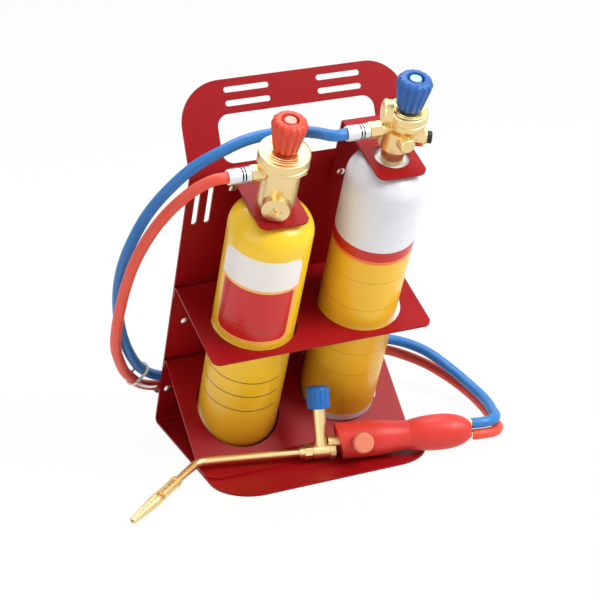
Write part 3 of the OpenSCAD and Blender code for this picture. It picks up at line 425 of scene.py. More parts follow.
class Finish(Bench):
    """One material, built round a Principled shader."""

    def __init__(self, name: str) -> None:
        """Starts a material of that name with its shader and output."""
        self.material = bpy.data.materials.new(name)
        self.material.use_nodes = True
        super().__init__(self.material.node_tree)
        self.shader = self.add("ShaderNodeBsdfPrincipled")
        inputs = {"Surface": self.shader.outputs[0]}
        self.output = self.add("ShaderNodeOutputMaterial", inputs=inputs)
        self.place = self.add("ShaderNodeTexCoord").outputs["Object"]

    @classmethod
    def reopen(cls, material: bpy.types.Material) -> Finish:
        """Takes up a finished material to add to it."""
        bench = cls.__new__(cls)
        bench.material = material
        bench.tree = material.node_tree
        kinds = {node.bl_idname: node for node in bench.tree.nodes}
        bench.shader = kinds["ShaderNodeBsdfPrincipled"]
        bench.output = kinds["ShaderNodeOutputMaterial"]
        bench.place = kinds["ShaderNodeTexCoord"].outputs["Object"]
        return bench

    def along(self, direction: Point, offset: float = 0.0) -> Signal:
        """How far a surface point lies along a direction, plus an offset."""
        node = self.add(
            "ShaderNodeVectorMath", {"operation": "DOT_PRODUCT"}, {0: self.place, 1: direction}
        )
        return Signal(self, node.outputs["Value"]) + offset

    def noise(self, pattern: Noise) -> Signal:
        """Smooth random values round 0.5 on Object coordinates."""
        where = self.place
        if pattern.stretch is not None:
            inputs = {"Vector": where, "Scale": pattern.stretch}
            where = self.add("ShaderNodeMapping", inputs=inputs).outputs[0]
        inputs = {"Vector": where, "Scale": pattern.scale, "Detail": pattern.detail}
        return Signal(self, self.add("ShaderNodeTexNoise", inputs=inputs).outputs[0])

    def bump(self, height: Signal, depth: float, strength: float = 1.0) -> bpy.types.NodeSocket:
        """A normal that follows a height, in metres of depth."""
        inputs = {"Height": height, "Distance": depth, "Strength": strength}
        return self.add("ShaderNodeBump", inputs=inputs).outputs[0]

    def surface(self, **inputs: object) -> bpy.types.Material:
        """Feeds the shader, with underscores for spaces in its sockets' names.

        Returns:
            The finished material.
        """
        for key, value in inputs.items():
            self.feed(self.shader.inputs[key.replace("_", " ")], value)
        return self.material


# ---------- finishes ----------


def shaded(colour: Colour, share: float | Colour) -> Colour:
    """A colour times one share, or times one share for each channel."""
    return tuple(np.multiply(colour, share).tolist())


class Gloss(Enum):
    """Roughness of a plain surface."""

    GLOSSY = 0.26
    SATIN = 0.40
    MATTE = 0.62


@dataclass(frozen=True)
class PowderCoat:
    """Baked powder paint on sheet metal, with its faint orange peel."""

    name: str = "red_powder_coat"
    colour: Colour = (0.34, 0.005, 0.008)
    deep_share: float = 0.86
    cloud: Noise = Noise(9.0, 3.0)
    peel: Noise = Noise(520.0, 1.0)
    peel_height: float = 0.00004
    roughness: float = 0.32
    roughness_spread: float = 0.12
    specular: float = 0.15

    def material(self) -> bpy.types.Material:
        """Builds the finish: a colour and a gloss that vary a little over fine peel."""
        bench = Finish(self.name)
        cloud = bench.noise(self.cloud)
        peel = bench.noise(self.peel)
        return bench.surface(
            Base_Color=bench.blend(cloud, self.colour, shaded(self.colour, self.deep_share)),
            Roughness=self.roughness + self.roughness_spread * cloud,
            Specular_IOR_Level=self.specular,
            Normal=bench.bump(peel, self.peel_height),
        )


@dataclass(frozen=True)
class TurnedBrass:
    """Turned or forged brass: bright metal with tool marks, a little duller in clouds."""

    name: str = "turned_brass"
    colour: Colour = (0.88, 0.68, 0.34)
    tarnish: Colour = (0.88, 0.80, 0.70)
    tarnish_from: float = 0.35
    tarnish_gain: float = 1.2
    cloud: Noise = Noise(60.0, 4.0)
    marks: Noise = Noise(1400.0, stretch=(1.0, 1.0, 0.25))
    mark_height: float = 0.000008
    roughness: float = 0.25
    roughness_spread: float = 0.16

    def material(self) -> bpy.types.Material:
        """Builds the finish: clouds in colour and gloss, and marks as fine bumps."""
        bench = Finish(self.name)
        cloud = bench.noise(self.cloud)
        marks = bench.noise(self.marks)
        mask = (cloud - self.tarnish_from) * self.tarnish_gain
        return bench.surface(
            Base_Color=bench.blend(mask, self.colour, shaded(self.colour, self.tarnish)),
            Metallic=1.0,
            Roughness=self.roughness + self.roughness_spread * cloud,
            Normal=bench.bump(marks, self.mark_height),
        )


@dataclass(frozen=True)
class Moulded:
    """Moulded plastic or rubber, with fine grain and a faint change of tone."""

    name: str
    colour: Colour
    gloss: Gloss = Gloss.SATIN
    grain: Noise = Noise(900.0)
    grain_height: float = 0.00004
    cloud: Noise = Noise(30.0, 3.0)
    deep_share: float = 0.82
    gloss_dip: float = 0.05
    roughness_spread: float = 0.12
    specular: float = 0.35

    def material(self) -> bpy.types.Material:
        """Builds the finish: tone and gloss vary slowly, and the grain is a fine bump."""
        bench = Finish(self.name)
        cloud = bench.noise(self.cloud)
        grain = bench.noise(self.grain)
        return bench.surface(
            Base_Color=bench.blend(cloud, self.colour, shaded(self.colour, self.deep_share)),
            Roughness=(self.gloss.value - self.gloss_dip) + self.roughness_spread * cloud,
            Specular_IOR_Level=self.specular,
            Normal=bench.bump(grain, self.grain_height),
        )


@dataclass(frozen=True)
class BareMetal:
    """Plated or drawn metal with fine lines."""

    name: str
    colour: Colour
    roughness: float = 0.28
    roughness_spread: float = 0.15
    deep_share: float = 0.85
    lines: Noise = Noise(700.0, stretch=(0.2, 1.0, 1.0))
    line_height: float = 0.00002
    cloud: Noise = Noise(80.0)

    def material(self) -> bpy.types.Material:
        """Builds the finish: a metal whose gloss changes along fine lines."""
        bench = Finish(self.name)
        lines = bench.noise(self.lines)
        cloud = bench.noise(self.cloud)
        return bench.surface(
            Base_Color=bench.blend(cloud, self.colour, shaded(self.colour, self.deep_share)),
            Metallic=1.0,
            Roughness=self.roughness + self.roughness_spread * lines,
            Normal=bench.bump(lines, self.line_height),
        )


@dataclass(frozen=True)
class Crimped(BareMetal):
    """Plated metal with painted shade along its grooves, which lie square to the X axis."""

    grooves: tuple[float, ...] = ()
    width: float = 0.0011
    blur: float = 0.0002
    # Painted shade: the near-black colour laid along each groove.
    painted_groove_shade: Colour = (0.02, 0.02, 0.02)

    def material(self) -> bpy.types.Material:
        """Paints shade along each groove by darkening the metal."""
        bench = Finish.reopen(super().material())
        along = bench.along(SIDEWAYS)
        colour = bench.shader.inputs["Base Color"].links[0].from_socket
        # Each groove gets a dark band of painted shade.
        for groove in self.grooves:
            colour = bench.blend(along.line(groove, self.width, self.blur), colour, self.painted_groove_shade)
        return bench.surface(Base_Color=colour)


@dataclass(frozen=True)
class HoseRubber:
    """Smooth hose rubber with faint lengthwise ribs and soft bloom."""

    name: str
    colour: Colour
    ribs: int = 40
    rib_height: float = 0.00004
    rib_strength: float = 0.5
    bloom: Noise = Noise(45.0, 3.0)
    bloom_from: float = 0.4
    bloom_gain: float = 0.8
    roughness: float = 0.34
    roughness_spread: float = 0.16

    def material(self) -> bpy.types.Material:
        """Builds the finish: ribs are a sine of the turn round the hose."""
        bench = Finish(self.name)
        wrap = bench.add("ShaderNodeUVMap", {"uv_map": WRAP_MAP}).outputs[0]
        split = bench.add("ShaderNodeSeparateXYZ", inputs={0: wrap})
        turn_round = Signal(bench, split.outputs[1])
        ribs = (turn_round * (2 * math.pi * self.ribs)).maths("SINE")
        bloom = bench.noise(self.bloom)
        pale = tuple(0.75 * c + 0.10 for c in self.colour)
        mask = (bloom - self.bloom_from) * self.bloom_gain
        return bench.surface(
            Base_Color=bench.blend(mask, self.colour, pale),
            Roughness=self.roughness + self.roughness_spread * bloom,
            Normal=bench.bump(ribs, self.rib_height, self.rib_strength),
        )


@dataclass(frozen=True)
class BottlePaint:
    """Gloss paint on a gas bottle: plain bands, a plain label set by height and turn, painted shade
    low down.
    """

    name: str
    x: float
    radius: float
    roughness: float = 0.24
    roughness_spread: float = 0.10
    specular: float = 0.35
    coat: float = 0.10
    coat_roughness: float = 0.10
    cloud: Noise = Noise(25.0, 3.0)
    peel: Noise = Noise(300.0, 1.0)
    peel_height: float = 0.00002
    blur: float = 0.0003
    # Painted shade: where, and over what width, the lower part of the cylinder darkens.
    painted_shade_middle: float = 0.10
    painted_shade_width: float = 0.12

    def height(self, bench: Finish) -> Signal:
        """Height along the panel, in metres."""
        return bench.along(UP_PANEL, FOOT_LINE * math.sin(LEAN))

    def around(self, bench: Finish, facing: float) -> Signal:
        """Distance round the bottle from the direction it faces, in metres along its wall."""
        side = bench.along(SIDEWAYS, -self.x)
        depth = bench.along(OUT_OF_PANEL, BOTTLE_Y - FOOT_LINE * math.cos(LEAN))
        return (side.maths("ARCTAN2", 0 - depth) - math.radians(facing)) * self.radius

    def base(
        self, bench: Finish, height: Signal, low: Colour, high: Colour
    ) -> bpy.types.NodeSocket:
        """Painted shade: a colour that changes from the darker low to the lit high over the
        cylinder's lower part.
        """
        return bench.blend(height.above(self.painted_shade_middle, self.painted_shade_width), low, high)

    def finish(self, bench: Finish, colour: object) -> bpy.types.Material:
        """Feeds the shader with the painted colour under a clear coat."""
        cloud = bench.noise(self.cloud)
        return bench.surface(
            Base_Color=colour,
            Roughness=self.roughness + self.roughness_spread * cloud,
            Specular_IOR_Level=self.specular,
            Normal=bench.bump(bench.noise(self.peel), self.peel_height),
            Coat_Weight=self.coat,
            Coat_Roughness=self.coat_roughness,
        )


@dataclass(frozen=True)
class GasPaint(BottlePaint):
    """Yellow, with a white band over a red label in a rounded orange frame, and thin rings."""

    name: str = "gas_bottle_paint"
    x: float = -BOTTLE_X
    radius: float = 0.038
    yellow: Colour = (0.92, 0.58, 0.022)
    # Painted shade: the darker yellow of the lower cylinder, which lies in shadow under the shelf.
    painted_shade_yellow: Colour = (0.66, 0.31, 0.02)
    white: Colour = (0.84, 0.80, 0.75)
    red: Colour = (0.58, 0.016, 0.016)
    orange: Colour = (0.93, 0.46, 0.12)
    dark: Colour = (0.20, 0.12, 0.02)
    facing: float = -31.0
    half_width: float = 0.0405
    low: float = 0.190
    high: float = 0.291
    corner: float = 0.012
    frame: tuple[float, float] = (-0.0042, -0.0010)
    panel_edge: float = -0.0048
    white_low: float = 0.2565
    white_border: float = 0.003
    rules: tuple[float, ...] = (0.207, 0.213)
    rule_width: float = 0.0007
    rings: tuple[float, ...] = (0.140, 0.122, 0.103)
    ring_width: float = 0.0013
    # Painted shade: the width over which the gas cylinder darkens towards its foot.
    painted_shade_width: float = 0.14

    def material(self) -> bpy.types.Material:
        """Builds the label from the distance to a rounded rectangle, below 0 inside it."""
        bench = Finish(self.name)
        height = self.height(bench)
        around = self.around(bench, self.facing)
        over = (abs(around) - (self.half_width - self.corner)).at_least(0.0)
        middle = (self.low + self.high) / 2
        half_height = (self.high - self.low) / 2
        beyond = (abs(height - middle) - (half_height - self.corner)).at_least(0.0)
        edge = (over * over + beyond * beyond).maths("SQRT") - self.corner
        inside = 1 - edge.above(0.0, self.blur)
        frame = edge.between(*self.frame, self.blur)
        panel = 1 - edge.above(self.panel_edge, self.blur)
        # The yellow darkens towards the foot as painted shade.
        paint = self.base(bench, height, self.painted_shade_yellow, self.yellow)
        label = bench.blend(frame, paint, self.orange)
        label = bench.blend(panel, label, self.red)
        for level in self.rules:
            rule = height.line(level, self.rule_width, self.blur) * panel
            label = bench.blend(rule, label, self.dark)
        border = height.above(self.white_low - self.white_border, self.blur)
        label = bench.blend(border, label, self.orange)
        label = bench.blend(height.above(self.white_low, self.blur), label, self.white)
        colour = bench.blend(inside, paint, label)
        spread = 1 - abs(around).above(self.half_width, self.blur)
        for level in self.rings:
            ring = height.line(level, self.ring_width, self.blur) * spread
            colour = bench.blend(ring, colour, self.dark)
        return self.finish(bench, colour)


@dataclass(frozen=True)
class OxygenPaint(BottlePaint):
    """White above and yellow below, parted by a red and orange stripe, with thin lines."""

    name: str = "oxygen_bottle_paint"
    x: float = BOTTLE_X
    radius: float = 0.0365
    yellow: Colour = (0.86, 0.50, 0.025)
    # Painted shade: the darker yellow of the lower cylinder, which lies in shadow under the shelf.
    painted_shade_yellow: Colour = (0.76, 0.41, 0.028)
    white: Colour = (0.80, 0.81, 0.84)
    shade: Colour = (0.62, 0.64, 0.69)
    red: Colour = (0.54, 0.018, 0.012)
    orange: Colour = (0.84, 0.20, 0.02)
    line: Colour = (0.60, 0.30, 0.02)
    stripe: tuple[float, float, float] = (0.2640, 0.2675, 0.2785)
    lines: tuple[float, ...] = (0.241, 0.207, 0.150, 0.122)
    line_width: float = 0.0008
    foot_line: float = 0.060
    foot_line_width: float = 0.0014
    mottle: Noise = Noise(22.0, 4.0)

    def material(self) -> bpy.types.Material:
        """Builds the bands by height, from the foot to the shoulder."""
        bench = Finish(self.name)
        height = self.height(bench)
        low, change, high = self.stripe
        white = bench.blend(bench.noise(self.mottle), self.white, self.shade)
        # The yellow darkens towards the foot as painted shade.
        colour = self.base(bench, height, self.painted_shade_yellow, self.yellow)
        colour = bench.blend(height.above(low, self.blur), colour, self.orange)
        colour = bench.blend(height.above(change, self.blur), colour, self.red)
        colour = bench.blend(height.above(high, self.blur), colour, white)
        for level in self.lines:
            colour = bench.blend(height.line(level, self.line_width, self.blur), colour, self.line)
        foot = height.line(self.foot_line, self.foot_line_width, self.blur)
        return self.finish(bench, bench.blend(foot, colour, self.red))


# ---------- sub-assemblies ----------


@dataclass
class Kit:
    """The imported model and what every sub-assembly shares."""

    frame: dict[str, object]
    made: list[str] = field(default_factory=list)

    def dress(self, material: bpy.types.Material, nodes: Iterable[str]) -> None:
        """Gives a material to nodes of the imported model."""
        for node in nodes:
            for slot in self.frame["nodes"][node].material_slots:
                slot.material = material
            LOG.info("dressed %s with %s", node, material.name)

    def add(
        self,
        piece: bpy.types.Object,
        body: str,
        material: bpy.types.Material,
        slot: str,
        *nodes: str,
    ) -> bpy.types.Object:
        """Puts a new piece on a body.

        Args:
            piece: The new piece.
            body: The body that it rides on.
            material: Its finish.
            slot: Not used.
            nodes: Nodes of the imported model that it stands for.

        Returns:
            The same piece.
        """
        piece.data.materials.append(material)
        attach(piece, body)
        if nodes:
            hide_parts(*nodes)
        self.made.append(piece.name)
        LOG.info("made %s on %s", piece.name, body)
        return piece


@dataclass
class Hoses:
    """The two hoses, which run from the regulators round the left side and behind to the torch."""

    diameter: float = 0.010
    oxygen: tuple[Point, ...] = (
        (2.5, -117.9, 335.8), (-8, -117.9, 335.8), (-19, -110, 337.5), (-29, -98, 337),
        (-39, -88, 335), (-53, -81, 333), (-72, -78, 330), (-94, -77, 323), (-117, -70, 310),
        (-136, -60, 291), (-151, -47, 268), (-161, -34, 243), (-167, -20, 217), (-169, -7, 191),
        (-167, 6, 164), (-161, 21, 137), (-152, 36, 112), (-142, 49, 92), (-133, 60, 78),
        (-124, 68.5, 68), (-113, 76.5, 59), (-103.3, 80.1, 53.9), (-90.6, 82.5, 48.4),
        (-78, 84, 45.2), (-64, 84.5, 44), (-40, 84.2, 44.5), (-14, 83.5, 46.2), (12, 82.8, 47.8),
        (38, 82, 49.6), (62, 81.4, 51), (84, 81, 51.7), (106, 81, 51.7), (124, 79.5, 50.5),
        (141, 74, 48), (156, 64, 44), (168, 49, 39), (176, 31, 33), (181, 10, 28), (184, -12, 24),
        (184.5, -33, 22), (182, -52, 21.5), (178, -67, 21.5), (174.5, -79, 22.3), (168, -87, 23.5),
        (159, -91.3, 24.7), (150, -91.1, 25), (143.4, -89.4, 25),
    )
    gas: tuple[Point, ...] = (
        (-101, -106.3, 309.2), (-111, -106.3, 309.2), (-124, -101, 303), (-139, -91, 289),
        (-151, -77, 270), (-160, -62, 248), (-166, -45, 223), (-169, -28, 197), (-170, -11, 170),
        (-169.5, 6, 143), (-166, 23, 118), (-158, 39, 96), (-149, 53, 78), (-139, 64, 65),
        (-129, 74, 54), (-118, 81.5, 46.8), (-108.8, 84.9, 43.1), (-96.1, 87.3, 37.7),
        (-83, 88.8, 34.5), (-68, 89.4, 33), (-42, 89.2, 33.4), (-14, 88.6, 34.8), (12, 87.8, 36.4),
        (38, 87, 38), (62, 86.5, 39.2), (84, 86.3, 39.8), (106, 86.3, 39.8), (124, 85, 38),
        (141, 79, 34), (156, 69, 29), (169, 54, 24), (178, 34, 19.5), (184, 12, 15.5),
        (187, -12, 12), (186, -35, 10.3), (183, -53, 10), (179, -67, 10.3), (176, -82, 11.2),
        (169, -90, 12.3), (159, -94.1, 14), (149, -94, 14.7), (142.9, -92.5, 14.7),
    )
    tail: tuple[Point, ...] = (
        (-0.1375, 0.0560, 0.0640), (-0.1340, 0.0500, 0.0625),
        (-0.1290, 0.0440, 0.0625), (-0.1235, 0.0385, 0.0640),
    )
    tail_width: float = 0.0032
    tail_thickness: float = 0.001
    blue: HoseRubber = HoseRubber("blue_hose_rubber", (0.013, 0.17, 0.50))
    orange: HoseRubber = HoseRubber("orange_hose_rubber", (0.74, 0.060, 0.026))

    def build(self, kit: Kit) -> None:
        """Makes both hoses and the tail of their tie."""
        pale = Moulded("tie_plastic", (0.86, 0.86, 0.86), Gloss.GLOSSY).material()
        kit.dress(pale, ["hose_tie"])
        tail = self.tie_tail(kit, pale)
        self.hose(kit, "blue_hose", self.oxygen, self.blue, "oxygen_hose")
        self.hose(kit, "orange_hose", self.gas, self.orange, "gas_hose")

    def hose(
        self,
        kit: Kit,
        name: str,
        route: Sequence[Point],
        rubber: HoseRubber,
        node: str,
    ) -> None:
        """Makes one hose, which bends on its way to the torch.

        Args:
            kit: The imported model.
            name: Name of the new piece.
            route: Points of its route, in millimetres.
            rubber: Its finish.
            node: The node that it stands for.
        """
        path = smooth_route([tuple(c / 1000 for c in p) for p in route])
        piece = swept(name, path, ring_outline(self.diameter / 2))
        piece.data.materials.append(rubber.material())
        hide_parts(node)
        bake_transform(piece)
        kit.made.append(name)

    def tie_tail(self, kit: Kit, material: bpy.types.Material) -> bpy.types.Object:
        """Makes the tie's loose end: a flat strip that curls out of its band."""
        a, b = self.tail_width / 2, self.tail_thickness / 2
        strip = np.array([(-a, -b), (a, -b), (a, b), (-a, b)])
        piece = swept("hose_tie_tail", smooth_route(self.tail, 0.001), strip)
        return kit.add(piece, "carrier", material, "pale_plastic")


@dataclass
class Carrier:
    """The folded sheet with its shelf, cradle, brackets and fixings."""

    paint: PowderCoat = PowderCoat()
    fixing: BareMetal = BareMetal("fixing_metal", (0.86, 0.86, 0.86), 0.22)
    black: Moulded = Moulded("clip_plastic", (0.025, 0.025, 0.028))
    painted: tuple[str, ...] = (
        "carrier_sheet", "bottle_shelf", "bottle_cradle", "gas_neck_bracket", "oxygen_neck_bracket",
    )

    def build(self, kit: Kit) -> None:
        """Dresses the steel and the clips."""
        kit.dress(self.paint.material(), self.painted)
        kit.dress(self.fixing.material(), ["panel_rivets", "clip_screws"])
        kit.dress(self.black.material(), ["hose_clips"])


@dataclass
class Cylinders:
    """The two painted cylinders and the oxygen cylinder's foot."""

    gas: GasPaint = GasPaint()
    oxygen: OxygenPaint = OxygenPaint()
    foot: Moulded = Moulded("foot_plastic", (0.70, 0.70, 0.72))

    def build(self, kit: Kit) -> None:
        """Dresses the cylinders."""
        kit.dress(self.gas.material(), ["gas_cylinder"])
        kit.dress(self.oxygen.material(), ["oxygen_cylinder"])
        kit.dress(self.foot.material(), ["oxygen_cylinder_foot"])


@dataclass(frozen=True)
class FlutedKnob:
    """A tapered knob with flutes, open below for its screw and recessed above for its button."""

    foot: float = 0.0115
    top: float = 0.0155
    height: float = 0.030
    shoulder: float = 0.006
    socket: float = 0.00505
    socket_depth: float = 0.014
    recess: float = 0.0074
    recess_depth: float = 0.004
    flutes: int = 14
    depth: float = 0.0016
    steps: int = 12
    edge: float = 0.001
    lip: float = 0.0005
    lip_drop: float = 0.0006
    smooth_below: float = 50.0

    def build(self, name: str, frame: np.ndarray) -> bpy.types.Object:
        """Makes the knob from one ring per height.

        The radius is the profile's, less the depth of a flute times (1/2 - cos(flutes a)/2)
        squared, times the root of a share that falls from 1 to 0 over the shoulder. The socket and
        the recess stay round.

        Args:
            name: Name of the new piece.
            frame: Matrix of the knob's axis, at its foot.

        Returns:
            The new object.
        """
        bend = np.linspace(0, np.pi / 2, 9)
        side = np.linspace(self.edge, self.height - self.shoulder, 12)
        rise = (side - self.edge) / (side[-1] - self.edge)
        slope = self.foot + (self.top - self.foot) * rise
        outside = np.concatenate([
            [(self.foot - self.edge, 0.0)],
            np.stack([slope, side], -1),
            np.stack([
                self.top - self.shoulder * (1 - np.cos(bend[1:])),
                self.height - self.shoulder * (1 - np.sin(bend[1:])),
            ], -1),
        ])
        inside = [(self.socket, self.socket_depth), (self.socket, 0.0)]
        crown = [
            (self.recess + self.lip, self.height),
            (self.recess, self.height - self.lip_drop),
            (self.recess, self.height - self.recess_depth),
        ]
        line = np.concatenate([inside, outside, crown])
        fade = np.clip((self.height - line[:, 1]) / self.shoulder, 0, 1)
        fade[: len(inside)] = 0
        fade[-len(crown) :] = 0
        angle = circle_angles(self.flutes * self.steps)
        groove = (0.5 - 0.5 * np.cos(self.flutes * angle)) ** 2
        radius = line[:, :1] - self.depth * fade[:, None] ** 0.5 * groove
        grid = rings_about_z(radius, line[:, 1:], angle)
        return grid_piece(name, grid, frame, self.smooth_below)


@dataclass(frozen=True)
class Bonnet:
    """A turned bonnet: a cup, open below, with a grooved wall and a ringed crown."""

    radius: float
    height: float
    cavity: float
    groove: float
    rings: tuple[float, ...]
    hole: float = 0.0053
    wall: float = 0.003
    rim: float = 0.0035
    crown: float = 0.001
    cut: float = 0.0005
    floor_half: float = 0.0003
    mouth_half: float = 0.0006
    chamfer: float = 0.0004
    corner: float = 0.0012
    fillet: float = 0.0002
    crown_edge: float = 0.0003
    sides: int = 128

    def build(self, name: str, frame: np.ndarray) -> bpy.types.Object:
        """Makes the bonnet from its section: up the wall, over the crown, down the hole and cup.

        Args:
            name: Name of the new piece.
            frame: Matrix of the bonnet's axis, at its foot.

        Returns:
            The new object.
        """
        radius, top, under = self.radius, self.height + self.crown, self.height - self.wall
        floor, mouth = self.floor_half, self.mouth_half
        groove = ((mouth, 0.0), (floor, self.cut), (-floor, self.cut), (-mouth, 0.0))
        section = [(self.cavity, 0.0), (radius - self.chamfer, 0.0), (radius, self.chamfer)]
        section.extend((radius - depth, self.groove - offset) for offset, depth in groove)
        bend = np.linspace(0, np.pi / 2, 5)
        inward = radius - self.corner * (1 - np.cos(bend))
        section.extend(zip(inward, self.height - self.corner * (1 - np.sin(bend))))
        step = radius - self.rim
        section.extend([(step + self.fillet, self.height), (step, self.height + self.fillet)])
        section.extend([(step, top - self.crown_edge), (step - self.crown_edge, top)])
        for ring in self.rings:
            section.extend((ring + offset, top - depth) for offset, depth in groove)
        section.extend([(self.hole, top), (self.hole, under), (self.cavity, under)])
        line = np.array(section)
        grid = rings_about_z(line[:, :1], line[:, 1:], circle_angles(self.sides))
        return grid_piece(name, grid, frame, bored=True)


@dataclass
class Regulators:
    """The two brass regulators with their knobs, inner works and outlets."""

    fittings: tuple[str, ...] = (
        "gas_side_plug", "oxygen_side_cap", "oxygen_relief_valve", "oxygen_front_plug",
    )
    knob: FlutedKnob = FlutedKnob()
    gas_bonnet: Bonnet = Bonnet(0.0225, 0.0135, 0.018, 0.0052, (0.0168, 0.0140))
    oxygen_bonnet: Bonnet = Bonnet(0.0175, 0.0115, 0.011, 0.0040, (0.0124,))
    gas_bonnet_foot: float = 0.371
    oxygen_bonnet_foot: float = 0.399
    gas_knob_foot: float = 0.388
    oxygen_knob_foot: float = 0.414
    brass: TurnedBrass = TurnedBrass()
    steel: BareMetal = BareMetal("spring_steel", (0.60, 0.60, 0.62))
    rubber: Moulded = Moulded("diaphragm_rubber", (0.03, 0.03, 0.03), Gloss.MATTE)
    black: Moulded = Moulded("cap_plastic", (0.015, 0.015, 0.018))
    # The ferrules' crimp grooves carry bands of painted shade.
    ferrule: Crimped = Crimped(
        "ferrule_metal", (0.86, 0.86, 0.88), 0.30, grooves=(-0.0889, -0.0863, 0.0146, 0.0172)
    )
    pink: Moulded = Moulded("gas_button_plastic", (0.80, 0.44, 0.36))
    sky: Moulded = Moulded("oxygen_button_plastic", (0.44, 0.68, 0.82))
    red: Moulded = Moulded("red_knob_plastic", (0.76, 0.07, 0.030))
    blue: Moulded = Moulded("blue_knob_plastic", (0.022, 0.125, 0.42))

    def build(self, kit: Kit) -> None:
        """Dresses both regulators, and makes their bonnets and knobs."""
        brass = self.brass.material()
        steel = self.steel.material()
        rubber = self.rubber.material()
        ferrule = self.ferrule.material()
        right = BOTTLE_X + OXYGEN_OFFSET
        for gas in ("gas", "oxygen"):
            names = ["cylinder_valve", "regulator_body", "adjusting_screw", "outlet_nut"]
            kit.dress(brass, [f"{gas}_{name}" for name in names])
            kit.dress(steel, [f"{gas}_spring", f"{gas}_poppet"])
            kit.dress(rubber, [f"{gas}_diaphragm"])
            kit.dress(ferrule, [f"{gas}_hose_ferrule"])
        kit.dress(brass, self.fittings)
        for gas, bonnet, frame in (
            ("gas", self.gas_bonnet, axis_frame(-BOTTLE_X, self.gas_bonnet_foot)),
            ("oxygen", self.oxygen_bonnet, axis_frame(right, self.oxygen_bonnet_foot)),
        ):
            piece = bonnet.build(f"{gas}_turned_bonnet", frame)
            kit.add(piece, "carrier", brass, "brass", f"{gas}_regulator_bonnet")
        kit.dress(self.black.material(), ["oxygen_relief_cap"])
        kit.dress(self.pink.material(), ["gas_knob_cap"])
        kit.dress(self.sky.material(), ["oxygen_knob_cap"])
        for gas, frame, plastic, slot in (
            ("gas", axis_frame(-BOTTLE_X, self.gas_knob_foot), self.red, "red_plastic"),
            ("oxygen", axis_frame(right, self.oxygen_knob_foot), self.blue, "blue_plastic"),
        ):
            piece = self.knob.build(f"{gas}_fluted_knob", frame)
            kit.add(piece, f"{gas}_knob_turn", plastic.material(), slot, f"{gas}_knob")


@dataclass
class Torch:
    """The hand torch: handle, valves, lance and tip."""

    brass: TurnedBrass = TurnedBrass("torch_brass")
    grip: Moulded = Moulded(
        "handle_plastic", (0.72, 0.045, 0.033), grain=Noise(700.0), grain_height=0.00005
    )
    salmon: Moulded = Moulded("salmon_plastic", (0.88, 0.26, 0.15))
    blue: Moulded = Moulded("blue_tap_plastic", (0.02, 0.16, 0.52))
    turned: tuple[str, ...] = (
        "valve_block", "oxygen_stem", "oxygen_spindle", "gas_spindle", "lance_nut", "lance_tube",
        "tip_socket", "tip_nozzle", "oxygen_nipple", "gas_nipple",
    )

    def build(self, kit: Kit) -> None:
        """Dresses the torch."""
        kit.dress(self.brass.material(), [f"torch_{name}" for name in self.turned])
        kit.dress(self.grip.material(), ["torch_handle_front", "torch_handle_rear"])
        kit.dress(self.salmon.material(), ["torch_gas_knob"])
        kit.dress(self.blue.material(), ["torch_oxygen_knob"])


# ---------- studio ----------


@dataclass(frozen=True)
class Lamp:
    """One soft square lamp: its name, its place, the length of its side and its power in watts."""

    name: str
    place: Point
    size: float
    power: float

    def hang(self, aim: Point) -> None:
        """Hangs the lamp so that it faces a point."""
        data = bpy.data.lights.new(self.name, "AREA")
        data.size = self.size
        data.energy = self.power
        lamp = bpy.data.objects.new(self.name, data)
        away = np.subtract(self.place, aim)
        away = away / np.linalg.norm(away)
        side = np.cross(STRAIGHT_UP, away)
        side = side / np.linalg.norm(side)
        matrix = np.eye(4)
        matrix[:3] = np.stack([side, np.cross(away, side), away, self.place], -1)
        lamp.matrix_world = Matrix(matrix.tolist())
        bpy.context.scene.collection.objects.link(lamp)


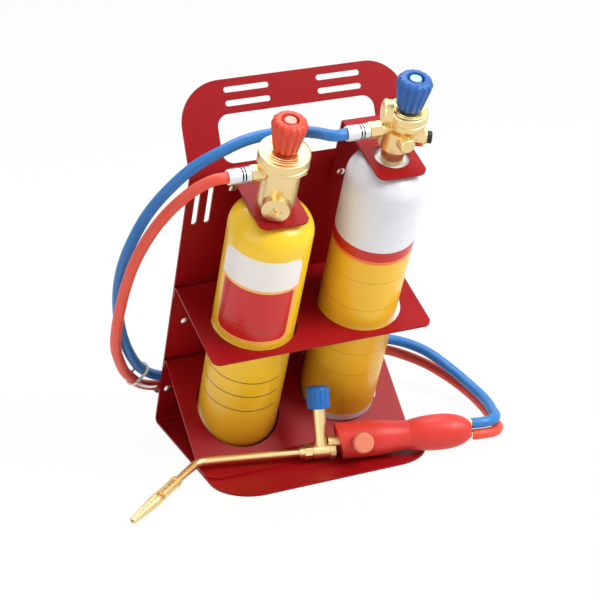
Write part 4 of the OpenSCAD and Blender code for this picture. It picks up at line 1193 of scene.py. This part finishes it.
@dataclass
class Studio:
    """The camera, the floor and the light."""

    eye: Point = (-0.6331, -1.4879, 0.7959)
    right: Point = (0.91526, -0.40246, -0.01803)
    up: Point = (0.16599, 0.33596, 0.92714)
    back: Point = (-0.36707, -0.85156, 0.37429)
    lens: float = 112.47
    sensor: float = 36.0
    floor_size: float = 6.0
    floor_colour: Colour = (0.82, 0.82, 0.82)
    floor_glow: float = 0.95
    white: Colour = (1.0, 1.0, 1.0)
    aim: Point = (0.0, -0.03, 0.18)
    key: Lamp = Lamp("key", (1.05, -1.00, 1.50), 1.0, 38.0)
    fill: Lamp = Lamp("fill", (-1.6, -0.9, 0.9), 1.2, 10.0)
    top: Lamp = Lamp("top", (0.1, 0.5, 1.7), 1.0, 18.0)
    world_light: float = 0.26

    def camera(self) -> None:
        """Sets up the camera from its place and its three directions."""
        data = bpy.data.cameras.new("camera")
        data.lens = self.lens
        data.sensor_width = self.sensor
        data.sensor_fit = "HORIZONTAL"
        data.clip_end = 50
        camera = bpy.data.objects.new("camera", data)
        columns = Matrix((self.right, self.up, self.back)).transposed()
        camera.matrix_world = Matrix.Translation(self.eye) @ columns.to_4x4()
        bpy.context.scene.collection.objects.link(camera)
        bpy.context.scene.camera = camera

    def floor(self) -> None:
        """Lays a plain white floor that keeps the object's soft shadow."""
        half = self.floor_size / 2
        corners = [(-half, -half, 0), (half, -half, 0), (half, half, 0), (-half, half, 0)]
        mesh = bpy.data.meshes.new("floor")
        mesh.from_pydata(corners, [], [(0, 1, 2, 3)])
        piece = bpy.data.objects.new("floor", mesh)
        bpy.context.scene.collection.objects.link(piece)
        bench = Finish("pale_floor")
        bench.surface(Base_Color=self.floor_colour, Roughness=0.9, Specular_IOR_Level=0.1)
        glow = bench.add("ShaderNodeEmission", inputs={"Color": self.white, "Strength": 1.0})
        seen = bench.seen(self.floor_glow)
        inputs = {0: seen, 1: bench.shader.outputs[0], 2: glow.outputs[0]}
        mixed = bench.add("ShaderNodeMixShader", inputs=inputs)
        bench.feed(bench.output.inputs["Surface"], mixed.outputs[0])
        mesh.materials.append(bench.material)

    def world(self) -> None:
        """Sets a white background and an even light from all round."""
        world = bpy.data.worlds.new("studio")
        bpy.context.scene.world = world
        world.use_nodes = True
        bench = Bench(world.node_tree)
        inputs = {"Color": self.white, "Strength": bench.seen(1.0, self.world_light)}
        sky = bench.add("ShaderNodeBackground", inputs=inputs)
        bench.add("ShaderNodeOutputWorld", inputs={"Surface": sky.outputs[0]})

    def light(self) -> None:
        """Hangs the key lamp high at the right, a fill at the left and one from above."""
        for lamp in (self.key, self.fill, self.top):
            lamp.hang(self.aim)


def main() -> None:
    """Builds everything in order."""
    logging.basicConfig(level=logging.INFO, format="%(name)s: %(message)s")
    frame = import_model()
    studio = Studio()
    studio.camera()
    kit = Kit(frame)
    sub_assemblies: tuple[Callable[[Kit], None], ...] = (
        Hoses().build, Carrier().build, Cylinders().build, Regulators().build, Torch().build,
    )
    for build in sub_assemblies:
        build(kit)
    studio.floor()
    studio.world()
    studio.light()
    bpy.context.scene.view_settings.view_transform = "Standard"


if __name__ == "__main__":
    main()
